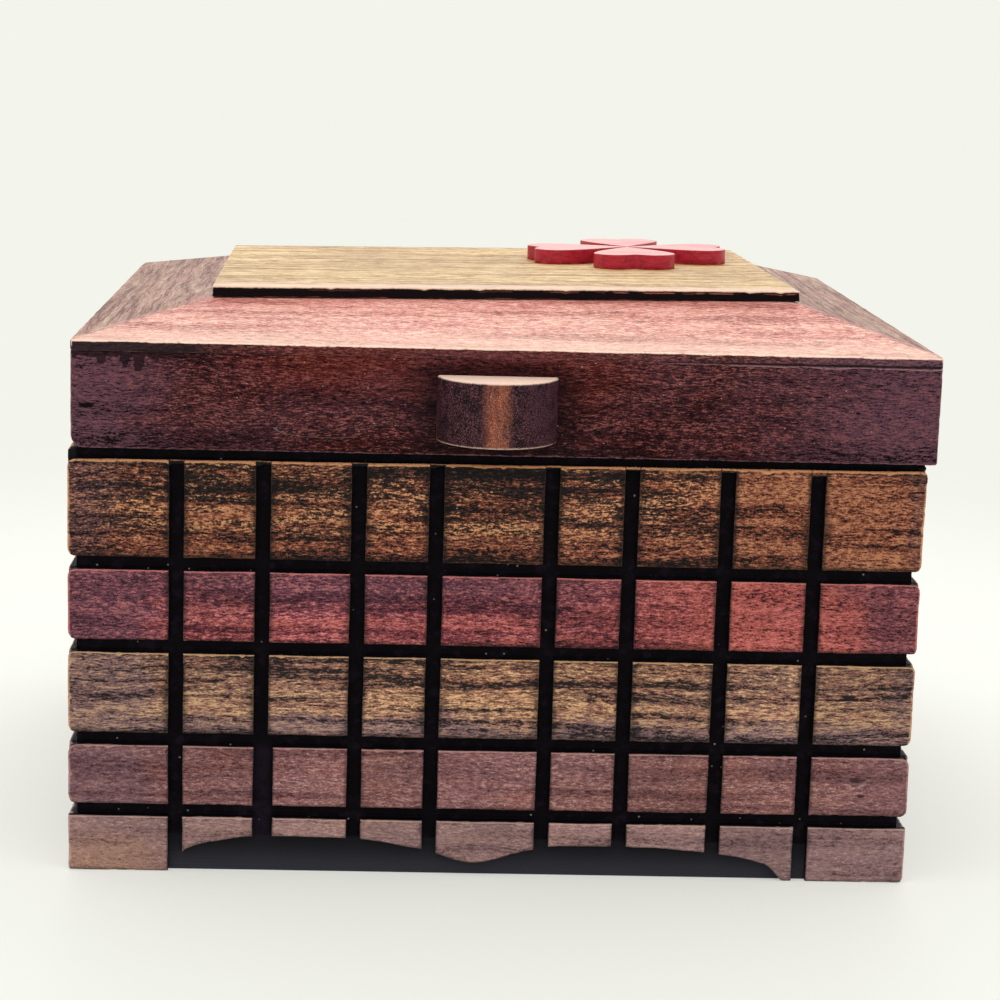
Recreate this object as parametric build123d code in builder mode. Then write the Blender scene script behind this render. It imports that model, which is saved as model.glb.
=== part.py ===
from build123d import *
import math
import os

# A hinged wooden box: black inner carcass, stained wood blocks glued on in rows, and a lid with
# a bevelled top board, a flat plaque and four hearts set tip to tip.
# Millimetres. +X to the right, +Y to the back, +Z up.
# The origin is the middle of the base, on the surface that the box stands on.

# Box without its lid, over the blocks
box_width = 200.0
box_depth = 178.0
box_height = 101.8

# Carcass
wall_thickness = 8.0
bottom_thickness = 4.0

# Blocks on the carcass: five rows, parted by level gaps, and cut into columns by upright kerfs.
# Rows are counted from the top, and the top row takes the height that the others leave.
block_thickness = 2.0
row_gap = 3.0
row_5_height = 13.5
row_4_height = 14.5
row_3_height = 19.5
row_2_height = 16.9
kerf_width = 3.2
wide_kerf_extra = 1.2
edge_break = 0.3
front_columns = [16.9, 19.0, 14.9, 23.6, 15.4, 19.2, 17.9]
side_columns = [17.4, 19.6, 15.4, 20.8, 16.2, 18.6]

# The front and back top rows stop short of the carcass rim, and their kerfs stop short of the top
front_drop_left = 2.3
front_drop_right = 1.3
back_drop = 1.6
bridge_least = 0.8
bridge_growth = 0.9

# Arches cut in the bottom row
front_foot_left = 25.0
front_foot_right = 29.5
front_arch_left_rise = 8.9
front_arch_right_rise = 7.7
pendant_centre = -3.6
pendant_clearance = 3.2
pendant_half_width = 13.5
pendant_shoulder = 8.0
short_leg = 20.0
long_leg_ratio = 1.8
side_foot = 23.5
side_arch_rise = 8.4

# How an arch's leg rises from the foot: shares of the leg's length and of the arch's rise
short_leg_curve = [(0, 0), (0.14, 0.6), (0.55, 0.86), (1, 1)]
long_leg_curve = [(0, 0), (0.11, 0.5), (0.42, 0.82), (1, 1)]

# Lid frame and bevelled top board
lid_shift = 1.4
lid_side_overhang = 0.5
lid_front_overhang = 0.7
closing_gap = 0.3
rail_thickness = 10.0
rail_height = 22.8
worn_corner = 1.6
board_overhang = 0.2
board_edge = 2.3
board_rise = 7.6
bevel_run_side = 30.7
bevel_run_front = 32.9
board_tilt = 0.72
board_pitch = 0.42

# Plaque and hearts
plaque_overhang = 1.0
plaque_thickness = 2.5
plaque_turn = 0.77
heart_length = 25.8
heart_width = 21.4
heart_thickness = 4.0
heart_notch = 2.2
heart_tip_gap = 0.45
# Half a heart from its tip round its lobe: shares of the length and of the half width
heart_curve = [(0, 0), (0.32, 0.5), (0.6, 0.88), (0.78, 1), (0.93, 0.84), (1, 0.48)]
# Which way each heart points: the left one was glued on a little askew
heart_turns = {"right": 0, "back": 90, "left": 187, "front": 270}
clover_margin_right = 7.9
clover_margin_back = 11.8

# Grip on the lid front
grip_chord = 28.0
grip_projection = 12.0
grip_height = 15.2
grip_lift = 3.6
grip_offset = -2.3

# Two brass butt hinges, each set in from its end of the box
hinge_inset = 38.0
hinge_length = 30.0
leaf_width = 11.0
leaf_thickness = 0.9
leaf_side_clearance = 0.1
knuckle_radius = 2.2
knuckle_count = 5
knuckle_gap = 0.15
knuckle_clearance = 0.3
pin_radius = 1.0
pin_clearance = 0.03
pin_head_radius = 1.6
pin_head_length = 0.7
screw_head_radius = 1.9
screw_shank_radius = 1.0
screw_length = 8.0
screw_tip = 2.0
screw_clearance = 0.03
screw_spacing = 17.0
screw_from_leaf_edge = 3.6
screw_slot_width = 0.5
screw_slot_depth = 0.45
screw_slot_angle = 35.0

# Heights and faces worked out from the sizes above
row_5_low = 0.0
row_4_low = row_5_low + row_5_height + row_gap
row_3_low = row_4_low + row_4_height + row_gap
row_2_low = row_3_low + row_3_height + row_gap
row_1_low = row_2_low + row_2_height + row_gap
rim_z = box_height
lid_low = rim_z + closing_gap
rail_top = lid_low + rail_height
board_rim_z = rail_top + board_edge
board_flat_z = board_rim_z + board_rise

carcass_width = box_width - 2 * block_thickness
carcass_depth = box_depth - 2 * block_thickness
inner_width = carcass_width - 2 * wall_thickness
inner_depth = carcass_depth - 2 * wall_thickness

lid_width = box_width + 2 * lid_side_overhang
lid_depth = box_depth + 2 * lid_front_overhang
board_width = lid_width + 2 * board_overhang
board_depth = lid_depth + 2 * board_overhang
flat_width = board_width - 2 * bevel_run_side
flat_depth = board_depth - 2 * bevel_run_front
plaque_width = flat_width + 2 * plaque_overhang
plaque_depth = flat_depth + 2 * plaque_overhang
clover_reach = heart_tip_gap + heart_length

hinge_x = box_width / 2 - hinge_inset
hinge_z = rim_z + closing_gap / 2
hinge_y = lid_depth / 2 + knuckle_clearance + knuckle_radius
leaf_front_y = hinge_y - leaf_width
screw_y = leaf_front_y + screw_from_leaf_edge
knuckle_length = (hinge_length - (knuckle_count - 1) * knuckle_gap) / knuckle_count
knuckle_pitch = knuckle_length + knuckle_gap

# The four faces of the carcass, each with its normal pointing out and its own y along +Z
front_face = Plane(origin=(0, -carcass_depth / 2, 0), x_dir=(1, 0, 0), z_dir=(0, -1, 0))
back_face = Plane(origin=(0, carcass_depth / 2, 0), x_dir=(-1, 0, 0), z_dir=(0, 1, 0))
left_face = Plane(origin=(-carcass_width / 2, 0, 0), x_dir=(0, -1, 0), z_dir=(-1, 0, 0))
right_face = Plane(origin=(carcass_width / 2, 0, 0), x_dir=(0, 1, 0), z_dir=(1, 0, 0))

# The plane of the lid's flat, a little higher on the right and at the front, with the plaque on it
flat_plane = Plane(
    Location((lid_shift, 0, board_flat_z), (0, -board_tilt, 0))
    * Location((0, 0, 0), (-board_pitch, 0, 0))
)
plaque_plane = Plane(flat_plane.location * Location((0, 0, 0), (0, 0, plaque_turn)))
plaque_top = plaque_plane.offset(plaque_thickness)

os.makedirs("parts", exist_ok=True)


def save(piece, name):
    """Label a finished piece and write it as its own STEP file."""
    piece.label = name
    export_step(piece, f"parts/{name}.step")


def column_spans(face_width, columns):
    """Left and right end of each block along a face: the columns, with the two end blocks
    sharing what the columns and kerfs leave."""
    kerfs = len(columns) + 1
    end_block = (face_width - sum(columns) - kerfs * kerf_width) / 2
    spans = []
    start = -face_width / 2
    for width in [end_block] + columns + [end_block]:
        spans.append((start, start + width))
        start += width + kerf_width
    return spans


def widen_kerf(spans, index):
    """The same blocks with one kerf a little wider than the others, on its right."""
    start, end = spans[index]
    wider = list(spans)
    wider[index] = (start + wide_kerf_extra, end)
    return wider


def outer_edges(piece, face):
    """The edges round the outward side of every block."""
    outward = Axis(face.origin, face.z_dir)
    return piece.faces().filter_by(face).group_by(outward)[-1].edges()


def block_row(face, spans, low, height):
    """A row of separate rectangular blocks on one face of the carcass."""
    with BuildPart() as row:
        with BuildSketch(face):
            for start, end in spans:
                with Locations(((start + end) / 2, low + height / 2)):
                    Rectangle(end - start, height)
        extrude(amount=block_thickness)
        chamfer(outer_edges(row, face), length=edge_break)
    return row.part


def top_row(face, spans, drop_start, drop_end):
    """The top row: one strip whose kerfs stop just under its top edge. The top edge may slope,
    and the wood left over a kerf grows from the first kerf to the last."""
    start = spans[0][0]
    end = spans[-1][1]

    def top_at(x):
        share = (x - start) / (end - start)
        return rim_z - drop_start + (drop_start - drop_end) * share

    with BuildPart() as row:
        with BuildSketch(face):
            with BuildLine():
                Polyline(
                    (start, row_1_low),
                    (end, row_1_low),
                    (end, top_at(end)),
                    (start, top_at(start)),
                    close=True,
                )
            make_face()
            for index in range(len(spans) - 1):
                left = spans[index][1]
                right = spans[index + 1][0]
                share = index / (len(spans) - 2)
                kerf_top = top_at(left) - bridge_least - bridge_growth * share**2
                kerf_low = row_1_low - row_gap / 2
                with Locations(((left + right) / 2, (kerf_low + kerf_top) / 2)):
                    Rectangle(right - left, kerf_top - kerf_low, mode=Mode.SUBTRACT)
        extrude(amount=block_thickness)
        chamfer(outer_edges(row, face), length=edge_break)
    return row.part


def leg_points(foot_x, inward, length, rise, curve):
    """Points of an arch's leg, from the foot inwards, on a curve given as shares of its length
    and rise."""
    return [(foot_x + inward * length * along, rise * up) for along, up in curve]


def double_arch(face_width, foot_start, foot_end, rise_start, rise_end, centre):
    """Outline under the bottom row: two low arches that meet in a hanging scallop."""
    start = -face_width / 2 + foot_start
    end = face_width / 2 - foot_end
    long_leg = short_leg * long_leg_ratio
    pendant_start = centre - pendant_half_width
    pendant_end = centre + pendant_half_width
    pendant_rise = pendant_end + pendant_shoulder
    Spline(leg_points(start, 1, short_leg, rise_start, short_leg_curve), tangents=((0.3, 1), (1, 0)))
    Line((start + short_leg, rise_start), (pendant_start - short_leg, rise_start))
    Spline(
        (pendant_start - short_leg, rise_start),
        (pendant_start, 0.74 * rise_start),
        (centre, pendant_clearance),
        (pendant_end, 0.84 * rise_end),
        (pendant_rise, rise_end),
        tangents=((1, 0), (1, 0)),
    )
    Line((pendant_rise, rise_end), (end - long_leg, rise_end))
    Spline(leg_points(end, -1, long_leg, rise_end, long_leg_curve), tangents=((-0.2, 1), (-1, 0)))
    Line((end, 0), (start, 0))


def single_arch(face_width, foot, rise):
    """Outline under the bottom row of a side: one low arch between two feet."""
    start = -face_width / 2 + foot
    for side in (1, -1):
        ThreePointArc(
            (side * start, 0),
            (side * (start + 0.25 * short_leg), 0.7 * rise),
            (side * (start + short_leg), rise),
        )
    Line((start + short_leg, rise), (-start - short_leg, rise))
    Line((-start, 0), (start, 0))


def bottom_row(face, spans, arch, *arch_sizes):
    """The bottom row of blocks, with the arches cut out of their lower edge."""
    with BuildPart() as row:
        with BuildSketch(face):
            for start, end in spans:
                with Locations(((start + end) / 2, row_5_low + row_5_height / 2)):
                    Rectangle(end - start, row_5_height)
            with BuildLine():
                arch(*arch_sizes)
            make_face(mode=Mode.SUBTRACT)
        extrude(amount=block_thickness)
        edges = outer_edges(row, face)
        chamfer(edges.filter_by(Axis.Z) + edges.group_by(Axis.Z)[-1], length=edge_break)
    return row.part


def heart_outline():
    """A heart with its tip at the local origin and its two lobes out along local +X."""
    half = heart_width / 2
    notch = heart_length - heart_notch
    lobe = [(heart_length * along, half * out) for along, out in heart_curve]
    upper = Spline(lobe + [(notch, 0)], tangents=((0.78, 0.62), (-0.55, -1)))
    mirror(upper, about=Plane.XZ)


def heart(angle):
    """One heart of the clover, its tip just off the clover's centre and its lobes at an angle."""
    centre_x = plaque_width / 2 - clover_margin_right - clover_reach
    centre_y = plaque_depth / 2 - clover_margin_back - clover_reach
    outward = math.radians(angle)
    tip = (
        centre_x + heart_tip_gap * math.cos(outward),
        centre_y + heart_tip_gap * math.sin(outward),
        0,
    )
    heart_plane = Plane(plaque_top.location * Location(tip, (0, 0, angle)))
    with BuildPart() as piece:
        with BuildSketch(heart_plane):
            with BuildLine():
                heart_outline()
            make_face()
        extrude(amount=heart_thickness)
    return piece.part


def screw_places(centre_x):
    """The two screw positions of a hinge leaf, seen from above."""
    half = screw_spacing / 2
    return [(centre_x - half, screw_y), (centre_x + half, screw_y)]


def knuckle_starts(centre_x, first):
    """Left end of every second knuckle, from the first one named."""
    barrel_start = centre_x - hinge_length / 2
    return [barrel_start + index * knuckle_pitch for index in range(first, knuckle_count, 2)]


def hinge_leaf(centre_x, plate_low, head_up, own_first, other_first):
    """A leaf let into the wood, with its knuckles, its pin bore and two countersunk holes."""
    notch_depth = knuckle_radius + knuckle_clearance
    with BuildPart() as leaf:
        with BuildSketch(Plane.XY.offset(plate_low)):
            with Locations((centre_x, (leaf_front_y + hinge_y) / 2)):
                Rectangle(hinge_length, hinge_y - leaf_front_y)
            for start in knuckle_starts(centre_x, other_first):
                with Locations((start + knuckle_length / 2, hinge_y)):
                    Rectangle(
                        knuckle_length + 2 * knuckle_gap, 2 * notch_depth, mode=Mode.SUBTRACT
                    )
        extrude(amount=leaf_thickness)
        for start in knuckle_starts(centre_x, own_first):
            with BuildSketch(Plane.YZ.offset(start)):
                with Locations((hinge_y, hinge_z)):
                    Circle(knuckle_radius)
            extrude(amount=knuckle_length)
        with BuildSketch(Plane.YZ.offset(centre_x - hinge_length / 2)):
            with Locations((hinge_y, hinge_z)):
                Circle(pin_radius + pin_clearance)
        extrude(amount=hinge_length, mode=Mode.SUBTRACT)
        face_z = plate_low + leaf_thickness if head_up else plate_low
        turn = 0 if head_up else 180
        for x, y in screw_places(centre_x):
            with Locations(Location((x, y, face_z), (turn, 0, 0))):
                CounterSinkHole(
                    screw_shank_radius + screw_clearance,
                    screw_head_radius + screw_clearance,
                    depth=leaf_thickness,
                    counter_sink_angle=90,
                )
    return leaf.part


def hinge_pin(centre_x):
    """The pin through the knuckles, with a flat head at each end."""
    start = centre_x - hinge_length / 2
    with BuildPart() as pin:
        with BuildSketch(Plane.YZ.offset(start)):
            with Locations((hinge_y, hinge_z)):
                Circle(pin_radius)
        extrude(amount=hinge_length)
        for head_start in (start - pin_head_length, start + hinge_length):
            with BuildSketch(Plane.YZ.offset(head_start)):
                with Locations((hinge_y, hinge_z)):
                    Circle(pin_head_radius)
            extrude(amount=pin_head_length)
    return pin.part


def leaf_screws(centre_x, head_z, head_up):
    """The two countersunk screws of a leaf, each with a slot across its head."""
    facing = 1 if head_up else -1
    head_depth = screw_head_radius - screw_shank_radius
    with BuildPart() as screws:
        for x, y in screw_places(centre_x):
            profile_plane = Plane(origin=(x, y, head_z), x_dir=(1, 0, 0), z_dir=(0, facing, 0))
            with BuildSketch(profile_plane):
                with BuildLine():
                    Polyline(
                        (0, 0),
                        (screw_head_radius, 0),
                        (screw_shank_radius, head_depth),
                        (screw_shank_radius, screw_length - screw_tip),
                        (0, screw_length),
                        close=True,
                    )
                make_face()
            revolve(axis=Axis((x, y, head_z), (0, 0, -facing)))
        with BuildSketch(Plane.XY.offset(head_z)):
            with Locations(*screw_places(centre_x)):
                Rectangle(2 * screw_head_radius, screw_slot_width, rotation=screw_slot_angle)
        extrude(amount=-facing * screw_slot_depth, mode=Mode.SUBTRACT)
    return screws.part


def cut_leaf_seats(face_z, inward):
    """Let both hinges' leaves and screws into the wood that is being built."""
    seat_front = leaf_front_y - leaf_side_clearance
    for centre_x in (-hinge_x, hinge_x):
        with BuildSketch(Plane.XY.offset(face_z)) as seat:
            with Locations((centre_x, (seat_front + hinge_y) / 2)):
                Rectangle(hinge_length + 2 * leaf_side_clearance, hinge_y - seat_front)
        extrude(seat.sketch, amount=inward * leaf_thickness, mode=Mode.SUBTRACT)
        with BuildSketch(Plane.XY.offset(face_z)) as pilot_holes:
            with Locations(*screw_places(centre_x)):
                Circle(screw_shank_radius + screw_clearance)
        extrude(
            pilot_holes.sketch,
            amount=inward * (screw_length + screw_clearance),
            mode=Mode.SUBTRACT,
        )


# Carcass walls: the front and back run the full width, the sides stand between them
with BuildPart() as carcass_front:
    with BuildSketch(Plane.XY):
        with Locations((0, -(carcass_depth - wall_thickness) / 2)):
            Rectangle(carcass_width, wall_thickness)
    extrude(amount=rim_z)
save(carcass_front.part, "carcass_front")

with BuildPart() as carcass_back:
    with BuildSketch(Plane.XY):
        with Locations((0, (carcass_depth - wall_thickness) / 2)):
            Rectangle(carcass_width, wall_thickness)
    extrude(amount=rim_z)
    cut_leaf_seats(rim_z, -1)
save(carcass_back.part, "carcass_back")

for name, sign in (("carcass_left", -1), ("carcass_right", 1)):
    with BuildPart() as carcass_side:
        with BuildSketch(Plane.XY):
            with Locations((sign * (carcass_width - wall_thickness) / 2, 0)):
                Rectangle(wall_thickness, inner_depth)
        extrude(amount=rim_z)
    save(carcass_side.part, name)

with BuildPart() as bottom_panel:
    with BuildSketch(Plane.XY):
        Rectangle(inner_width, inner_depth)
    extrude(amount=bottom_thickness)
save(bottom_panel.part, "bottom_panel")

# Rows of blocks on the four faces: those on the front and back cover the ends of those on the sides
long_spans = column_spans(box_width, front_columns)
long_spans_wide_kerf = widen_kerf(long_spans, 2)
side_spans = column_spans(carcass_depth, side_columns)
middle_rows = (
    (2, row_2_low, row_2_height),
    (3, row_3_low, row_3_height),
    (4, row_4_low, row_4_height),
)

save(top_row(front_face, long_spans, front_drop_left, front_drop_right), "front_row_1")
save(top_row(back_face, long_spans, back_drop, back_drop), "back_row_1")
save(top_row(left_face, side_spans, 0, 0), "left_row_1")
save(top_row(right_face, side_spans, 0, 0), "right_row_1")

for number, low, height in middle_rows:
    front_spans = long_spans_wide_kerf if number == 4 else long_spans
    save(block_row(front_face, front_spans, low, height), f"front_row_{number}")
    save(block_row(back_face, long_spans, low, height), f"back_row_{number}")
    save(block_row(left_face, side_spans, low, height), f"left_row_{number}")
    save(block_row(right_face, side_spans, low, height), f"right_row_{number}")

long_arch = (
    box_width,
    front_foot_left,
    front_foot_right,
    front_arch_left_rise,
    front_arch_right_rise,
    pendant_centre,
)
side_arch = (carcass_depth, side_foot, side_arch_rise)
save(bottom_row(front_face, long_spans_wide_kerf, double_arch, *long_arch), "front_row_5")
save(bottom_row(back_face, long_spans, double_arch, *long_arch), "back_row_5")
save(bottom_row(left_face, side_spans, single_arch, *side_arch), "left_row_5")
save(bottom_row(right_face, side_spans, single_arch, *side_arch), "right_row_5")

# Lid frame
rail_centre_y = (lid_depth - rail_thickness) / 2

with BuildPart() as lid_front_rail:
    with BuildSketch(Plane.XY.offset(lid_low)):
        with Locations((lid_shift, -rail_centre_y)):
            Rectangle(lid_width, rail_thickness)
    extrude(amount=rail_height)
    worn_edge = lid_front_rail.edges().filter_by(Axis.Y).group_by(Axis.Z)[0].sort_by(Axis.X)[0]
    chamfer(worn_edge, length=worn_corner)
save(lid_front_rail.part, "lid_front_rail")

with BuildPart() as lid_back_rail:
    with BuildSketch(Plane.XY.offset(lid_low)):
        with Locations((lid_shift, rail_centre_y)):
            Rectangle(lid_width, rail_thickness)
    extrude(amount=rail_height)
    cut_leaf_seats(lid_low, 1)
save(lid_back_rail.part, "lid_back_rail")

for name, sign in (("lid_left_rail", -1), ("lid_right_rail", 1)):
    with BuildPart() as lid_side_rail:
        with BuildSketch(Plane.XY.offset(lid_low)):
            with Locations((lid_shift + sign * (lid_width - rail_thickness) / 2, 0)):
                Rectangle(rail_thickness, lid_depth - 2 * rail_thickness)
        extrude(amount=rail_height)
    save(lid_side_rail.part, name)

# Top board: a thin square edge, then four bevels up to a flat that tilts a little to one side
with BuildPart() as lid_top_board:
    with BuildSketch(Plane.XY.offset(rail_top)):
        with Locations((lid_shift, 0)):
            Rectangle(board_width, board_depth)
    extrude(amount=board_edge)
    with BuildSketch(Plane.XY.offset(board_rim_z)):
        with Locations((lid_shift, 0)):
            Rectangle(board_width, board_depth)
    with BuildSketch(flat_plane):
        Rectangle(flat_width, flat_depth)
    loft(ruled=True)
save(lid_top_board.part, "lid_top_board")

with BuildPart() as lid_plaque:
    with BuildSketch(plaque_plane):
        Rectangle(plaque_width, plaque_depth)
    extrude(amount=plaque_thickness)
save(lid_plaque.part, "lid_plaque")

for side, angle in heart_turns.items():
    save(heart(angle), f"heart_{side}")

# Half-round grip, flat side on the front rail
grip_centre = lid_shift + grip_offset
grip_left = (grip_centre - grip_chord / 2, -lid_depth / 2)
grip_right = (grip_centre + grip_chord / 2, -lid_depth / 2)
grip_nose = (grip_centre, -lid_depth / 2 - grip_projection)

with BuildPart() as lid_grip:
    with BuildSketch(Plane.XY.offset(lid_low + grip_lift)):
        with BuildLine():
            ThreePointArc(grip_left, grip_nose, grip_right)
            Line(grip_right, grip_left)
        make_face()
    extrude(amount=grip_height)
    chamfer(lid_grip.faces().filter_by(Axis.Z).edges(), length=edge_break)
save(lid_grip.part, "lid_grip")

# Hinges: the box leaf carries the end knuckles, the lid leaf the ones between them
for side, centre_x in (("left", -hinge_x), ("right", hinge_x)):
    box_leaf = hinge_leaf(centre_x, rim_z - leaf_thickness, True, 0, 1)
    lid_leaf = hinge_leaf(centre_x, lid_low, False, 1, 0)
    save(box_leaf, f"hinge_box_leaf_{side}")
    save(lid_leaf, f"hinge_lid_leaf_{side}")
    save(hinge_pin(centre_x), f"hinge_pin_{side}")
    save(leaf_screws(centre_x, rim_z, True), f"hinge_box_screws_{side}")
    save(leaf_screws(centre_x, lid_low, False), f"hinge_lid_screws_{side}")
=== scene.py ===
"""Looks of a hinged wooden box: stained blocks on a black carcass, a bevelled lid and a clover.

Laid out as an add-on and run as a script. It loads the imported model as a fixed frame, puts worked
surfaces in place of the plain solids where the wood has rubbed edges and chips, and gives every
piece a procedural finish. Lengths are in metres; +X is right, +Y is back and +Z is up.
"""

import inspect
import math

import bpy
import numpy as np
from bpy.props import FloatProperty, FloatVectorProperty, IntProperty, PointerProperty
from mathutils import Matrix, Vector


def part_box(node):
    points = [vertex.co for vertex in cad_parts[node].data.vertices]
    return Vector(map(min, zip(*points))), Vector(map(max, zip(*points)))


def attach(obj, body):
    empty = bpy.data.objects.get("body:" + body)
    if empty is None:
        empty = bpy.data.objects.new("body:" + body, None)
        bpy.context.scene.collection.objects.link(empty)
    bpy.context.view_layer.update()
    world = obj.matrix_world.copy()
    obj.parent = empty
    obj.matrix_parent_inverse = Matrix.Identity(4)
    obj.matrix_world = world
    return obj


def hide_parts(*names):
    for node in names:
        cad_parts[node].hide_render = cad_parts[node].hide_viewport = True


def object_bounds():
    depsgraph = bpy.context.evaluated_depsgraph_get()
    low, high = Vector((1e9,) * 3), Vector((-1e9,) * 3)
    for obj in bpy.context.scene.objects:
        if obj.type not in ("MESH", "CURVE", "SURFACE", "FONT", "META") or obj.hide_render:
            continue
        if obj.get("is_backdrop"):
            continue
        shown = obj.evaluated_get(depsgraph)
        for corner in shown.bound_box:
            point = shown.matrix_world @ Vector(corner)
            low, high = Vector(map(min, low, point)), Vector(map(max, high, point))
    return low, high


bl_info = {
    "name": "Hinged Wooden Box",
    "version": (1, 0, 0),
    "blender": (4, 5, 0),
    "location": "3D View > Sidebar > Wooden Box",
    "description": "Builds the worked surfaces and finishes of a hinged wooden box round its CAD frame",
    "category": "Object",
}

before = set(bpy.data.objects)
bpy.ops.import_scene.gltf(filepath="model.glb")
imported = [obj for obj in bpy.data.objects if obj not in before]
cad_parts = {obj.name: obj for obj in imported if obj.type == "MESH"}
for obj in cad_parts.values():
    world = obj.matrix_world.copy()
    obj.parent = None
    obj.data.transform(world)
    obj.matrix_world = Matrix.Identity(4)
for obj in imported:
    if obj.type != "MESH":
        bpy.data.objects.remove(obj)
CAD_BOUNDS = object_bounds()

MM = 0.001

# Each side of the box: the direction across it, seen from outside, and the direction out of it
SIDES = {
    "front": ((1, 0, 0), (0, -1, 0)),
    "back": ((-1, 0, 0), (0, 1, 0)),
    "left": ((0, -1, 0), (-1, 0, 0)),
    "right": ((0, 1, 0), (1, 0, 0)),
}

# Outline under the bottom row, in millimetres across the side and up from the floor
LONG_ARCH = (
    (-75, 0), (-72.2, 5.3), (-64, 7.7), (-55, 8.9), (-37.1, 8.9), (-17.1, 6.6), (-3.6, 3.2),
    (9.9, 6.5), (17.9, 7.7), (34.5, 7.7), (55.4, 6.3), (66.5, 3.9), (70.5, 0),
)
SIDE_ARCH = ((-63.5, 0), (-58.5, 5.9), (-43.5, 8.4), (43.5, 8.4), (58.5, 5.9), (63.5, 0))

# Half a heart from its tip round its lobe to the notch: shares of its length and half width
HEART_CURVE = (
    (0, 0), (0.32, 0.5), (0.6, 0.88), (0.78, 1), (0.93, 0.84), (1, 0.48), (0.918, 0),
)


# Settings

def linear(shown):
    """A screen's 0 to 255 as the linear value that a shader takes."""
    share = shown / 255
    return share / 12.92 if share <= 0.04045 else ((share + 0.055) / 1.055) ** 2.4


def colour(name, description, shown):
    """A colour setting, with its default as a screen shows it."""
    return FloatVectorProperty(
        name=name, description=description, subtype="COLOR", size=3, min=0, max=1,
        default=tuple(linear(part) for part in shown))


def length(name, description, millimetres):
    """A length setting, with its default in millimetres."""
    return FloatProperty(
        name=name, description=description, default=millimetres * MM, min=0, unit="LENGTH",
        precision=5)


def lengths(name, description, *millimetres):
    """A setting of several lengths, with their defaults in millimetres."""
    return FloatVectorProperty(
        name=name, description=description, size=len(millimetres), unit="LENGTH", precision=5,
        default=tuple(width * MM for width in millimetres))


def angle(name, description, degrees):
    """An angle setting, with its default in degrees."""
    return FloatProperty(
        name=name, description=description, default=math.radians(degrees), subtype="ANGLE")


def number(name, description, value):
    return FloatProperty(name=name, description=description, default=value)


STAIN_PARTS = {
    "dark": "Dark streaks and deep fibres",
    "base": "Stain on the plain wood",
    "light": "Fibres that took less stain",
    "tint": "Colour of the cloudy patches and the ends",
    "blush": "Colour that the stain drifts to along the side",
}
STAIN_COLOURS = {
    "row_1": ((12, 7, 6), (64, 38, 29), (212, 150, 104), (88, 58, 60), (136, 72, 52)),
    "row_2": ((44, 16, 24), (120, 50, 58), (218, 130, 122), (86, 52, 66), (178, 88, 76)),
    "row_3": ((32, 23, 22), (138, 100, 79), (230, 182, 132), (118, 92, 96), (150, 96, 78)),
    "row_4": ((60, 35, 38), (126, 83, 81), (204, 156, 144), (114, 82, 92), (150, 94, 84)),
    "row_5": ((76, 56, 54), (150, 114, 108), (206, 170, 154), (130, 102, 110), (172, 130, 108)),
    "lid_frame": ((14, 4, 7), (48, 16, 18), (146, 84, 76), (94, 62, 74), (86, 28, 22)),
    "top_board": ((132, 74, 64), (224, 158, 141), (255, 220, 197), (156, 118, 102), (208, 120, 110)),
    "plaque": ((126, 88, 56), (206, 172, 121), (248, 222, 172), (166, 132, 94), (190, 148, 98)),
    # The grip's blush is the copper of the painted highlight on its nose
    "grip": ((8, 4, 6), (34, 16, 22), (108, 66, 70), (66, 38, 50), (154, 78, 52)),
    "inside": ((20, 12, 10), (52, 32, 26), (84, 54, 42), (40, 26, 24), (60, 36, 30)),
}


def stain_settings(name, colours):
    """A property group with the five colours of one stain."""
    parts = {part: colour(part.capitalize(), use, shown)
             for (part, use), shown in zip(STAIN_PARTS.items(), colours)}
    title = name.title().replace("_", "") + "Stain"
    return type(title, (bpy.types.PropertyGroup,), {"__annotations__": parts})


STAINS = {name: stain_settings(name, colours) for name, colours in STAIN_COLOURS.items()}


class BoxShape(bpy.types.PropertyGroup):
    arris: length("Arris", "How far the edges of the wood are rubbed round", 0.32)
    chip: length("Chip", "How much deeper an edge is rubbed where it has chipped", 0.55)
    wobble: length("Wobble", "How far an edge wanders from its straight line", 0.12)
    ripple: length("Ripple", "How far a face dips between its high spots", 0.08)
    grid: length("Grid", "Spacing of the points on a worked face", 0.9)
    kerf: length("Kerf", "Width of the upright saw cuts", 3.2)
    wide_kerf: length("Wide kerf", "What the widest cut has more than the others", 1.2)
    rim: length("Rim", "Height of the box without its lid", 101.8)
    drop_left: length("Drop, left", "From the rim to the front's top edge, left", 2.3)
    drop_right: length("Drop, right", "From the rim to the front's top edge, right", 1.3)
    drop_back: length("Drop, back", "From the rim to the back's top edge", 1.6)
    bridge: length("Bridge", "Least wood left over a saw cut", 0.35)
    bridge_growth: length("Bridge growth", "What the last saw cut leaves more", 1.2)
    corner: length("Corner", "How far the outer corners of a row are rubbed round", 1.9)
    front_columns: lengths("Front columns", "Widths of the inner blocks of the front and back",
                           16.9, 19.0, 14.9, 23.6, 15.4, 19.2, 17.9)
    side_columns: lengths("Side columns", "Widths of the inner blocks of the two sides",
                          17.4, 19.6, 15.4, 20.8, 16.2, 18.6)


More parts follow.
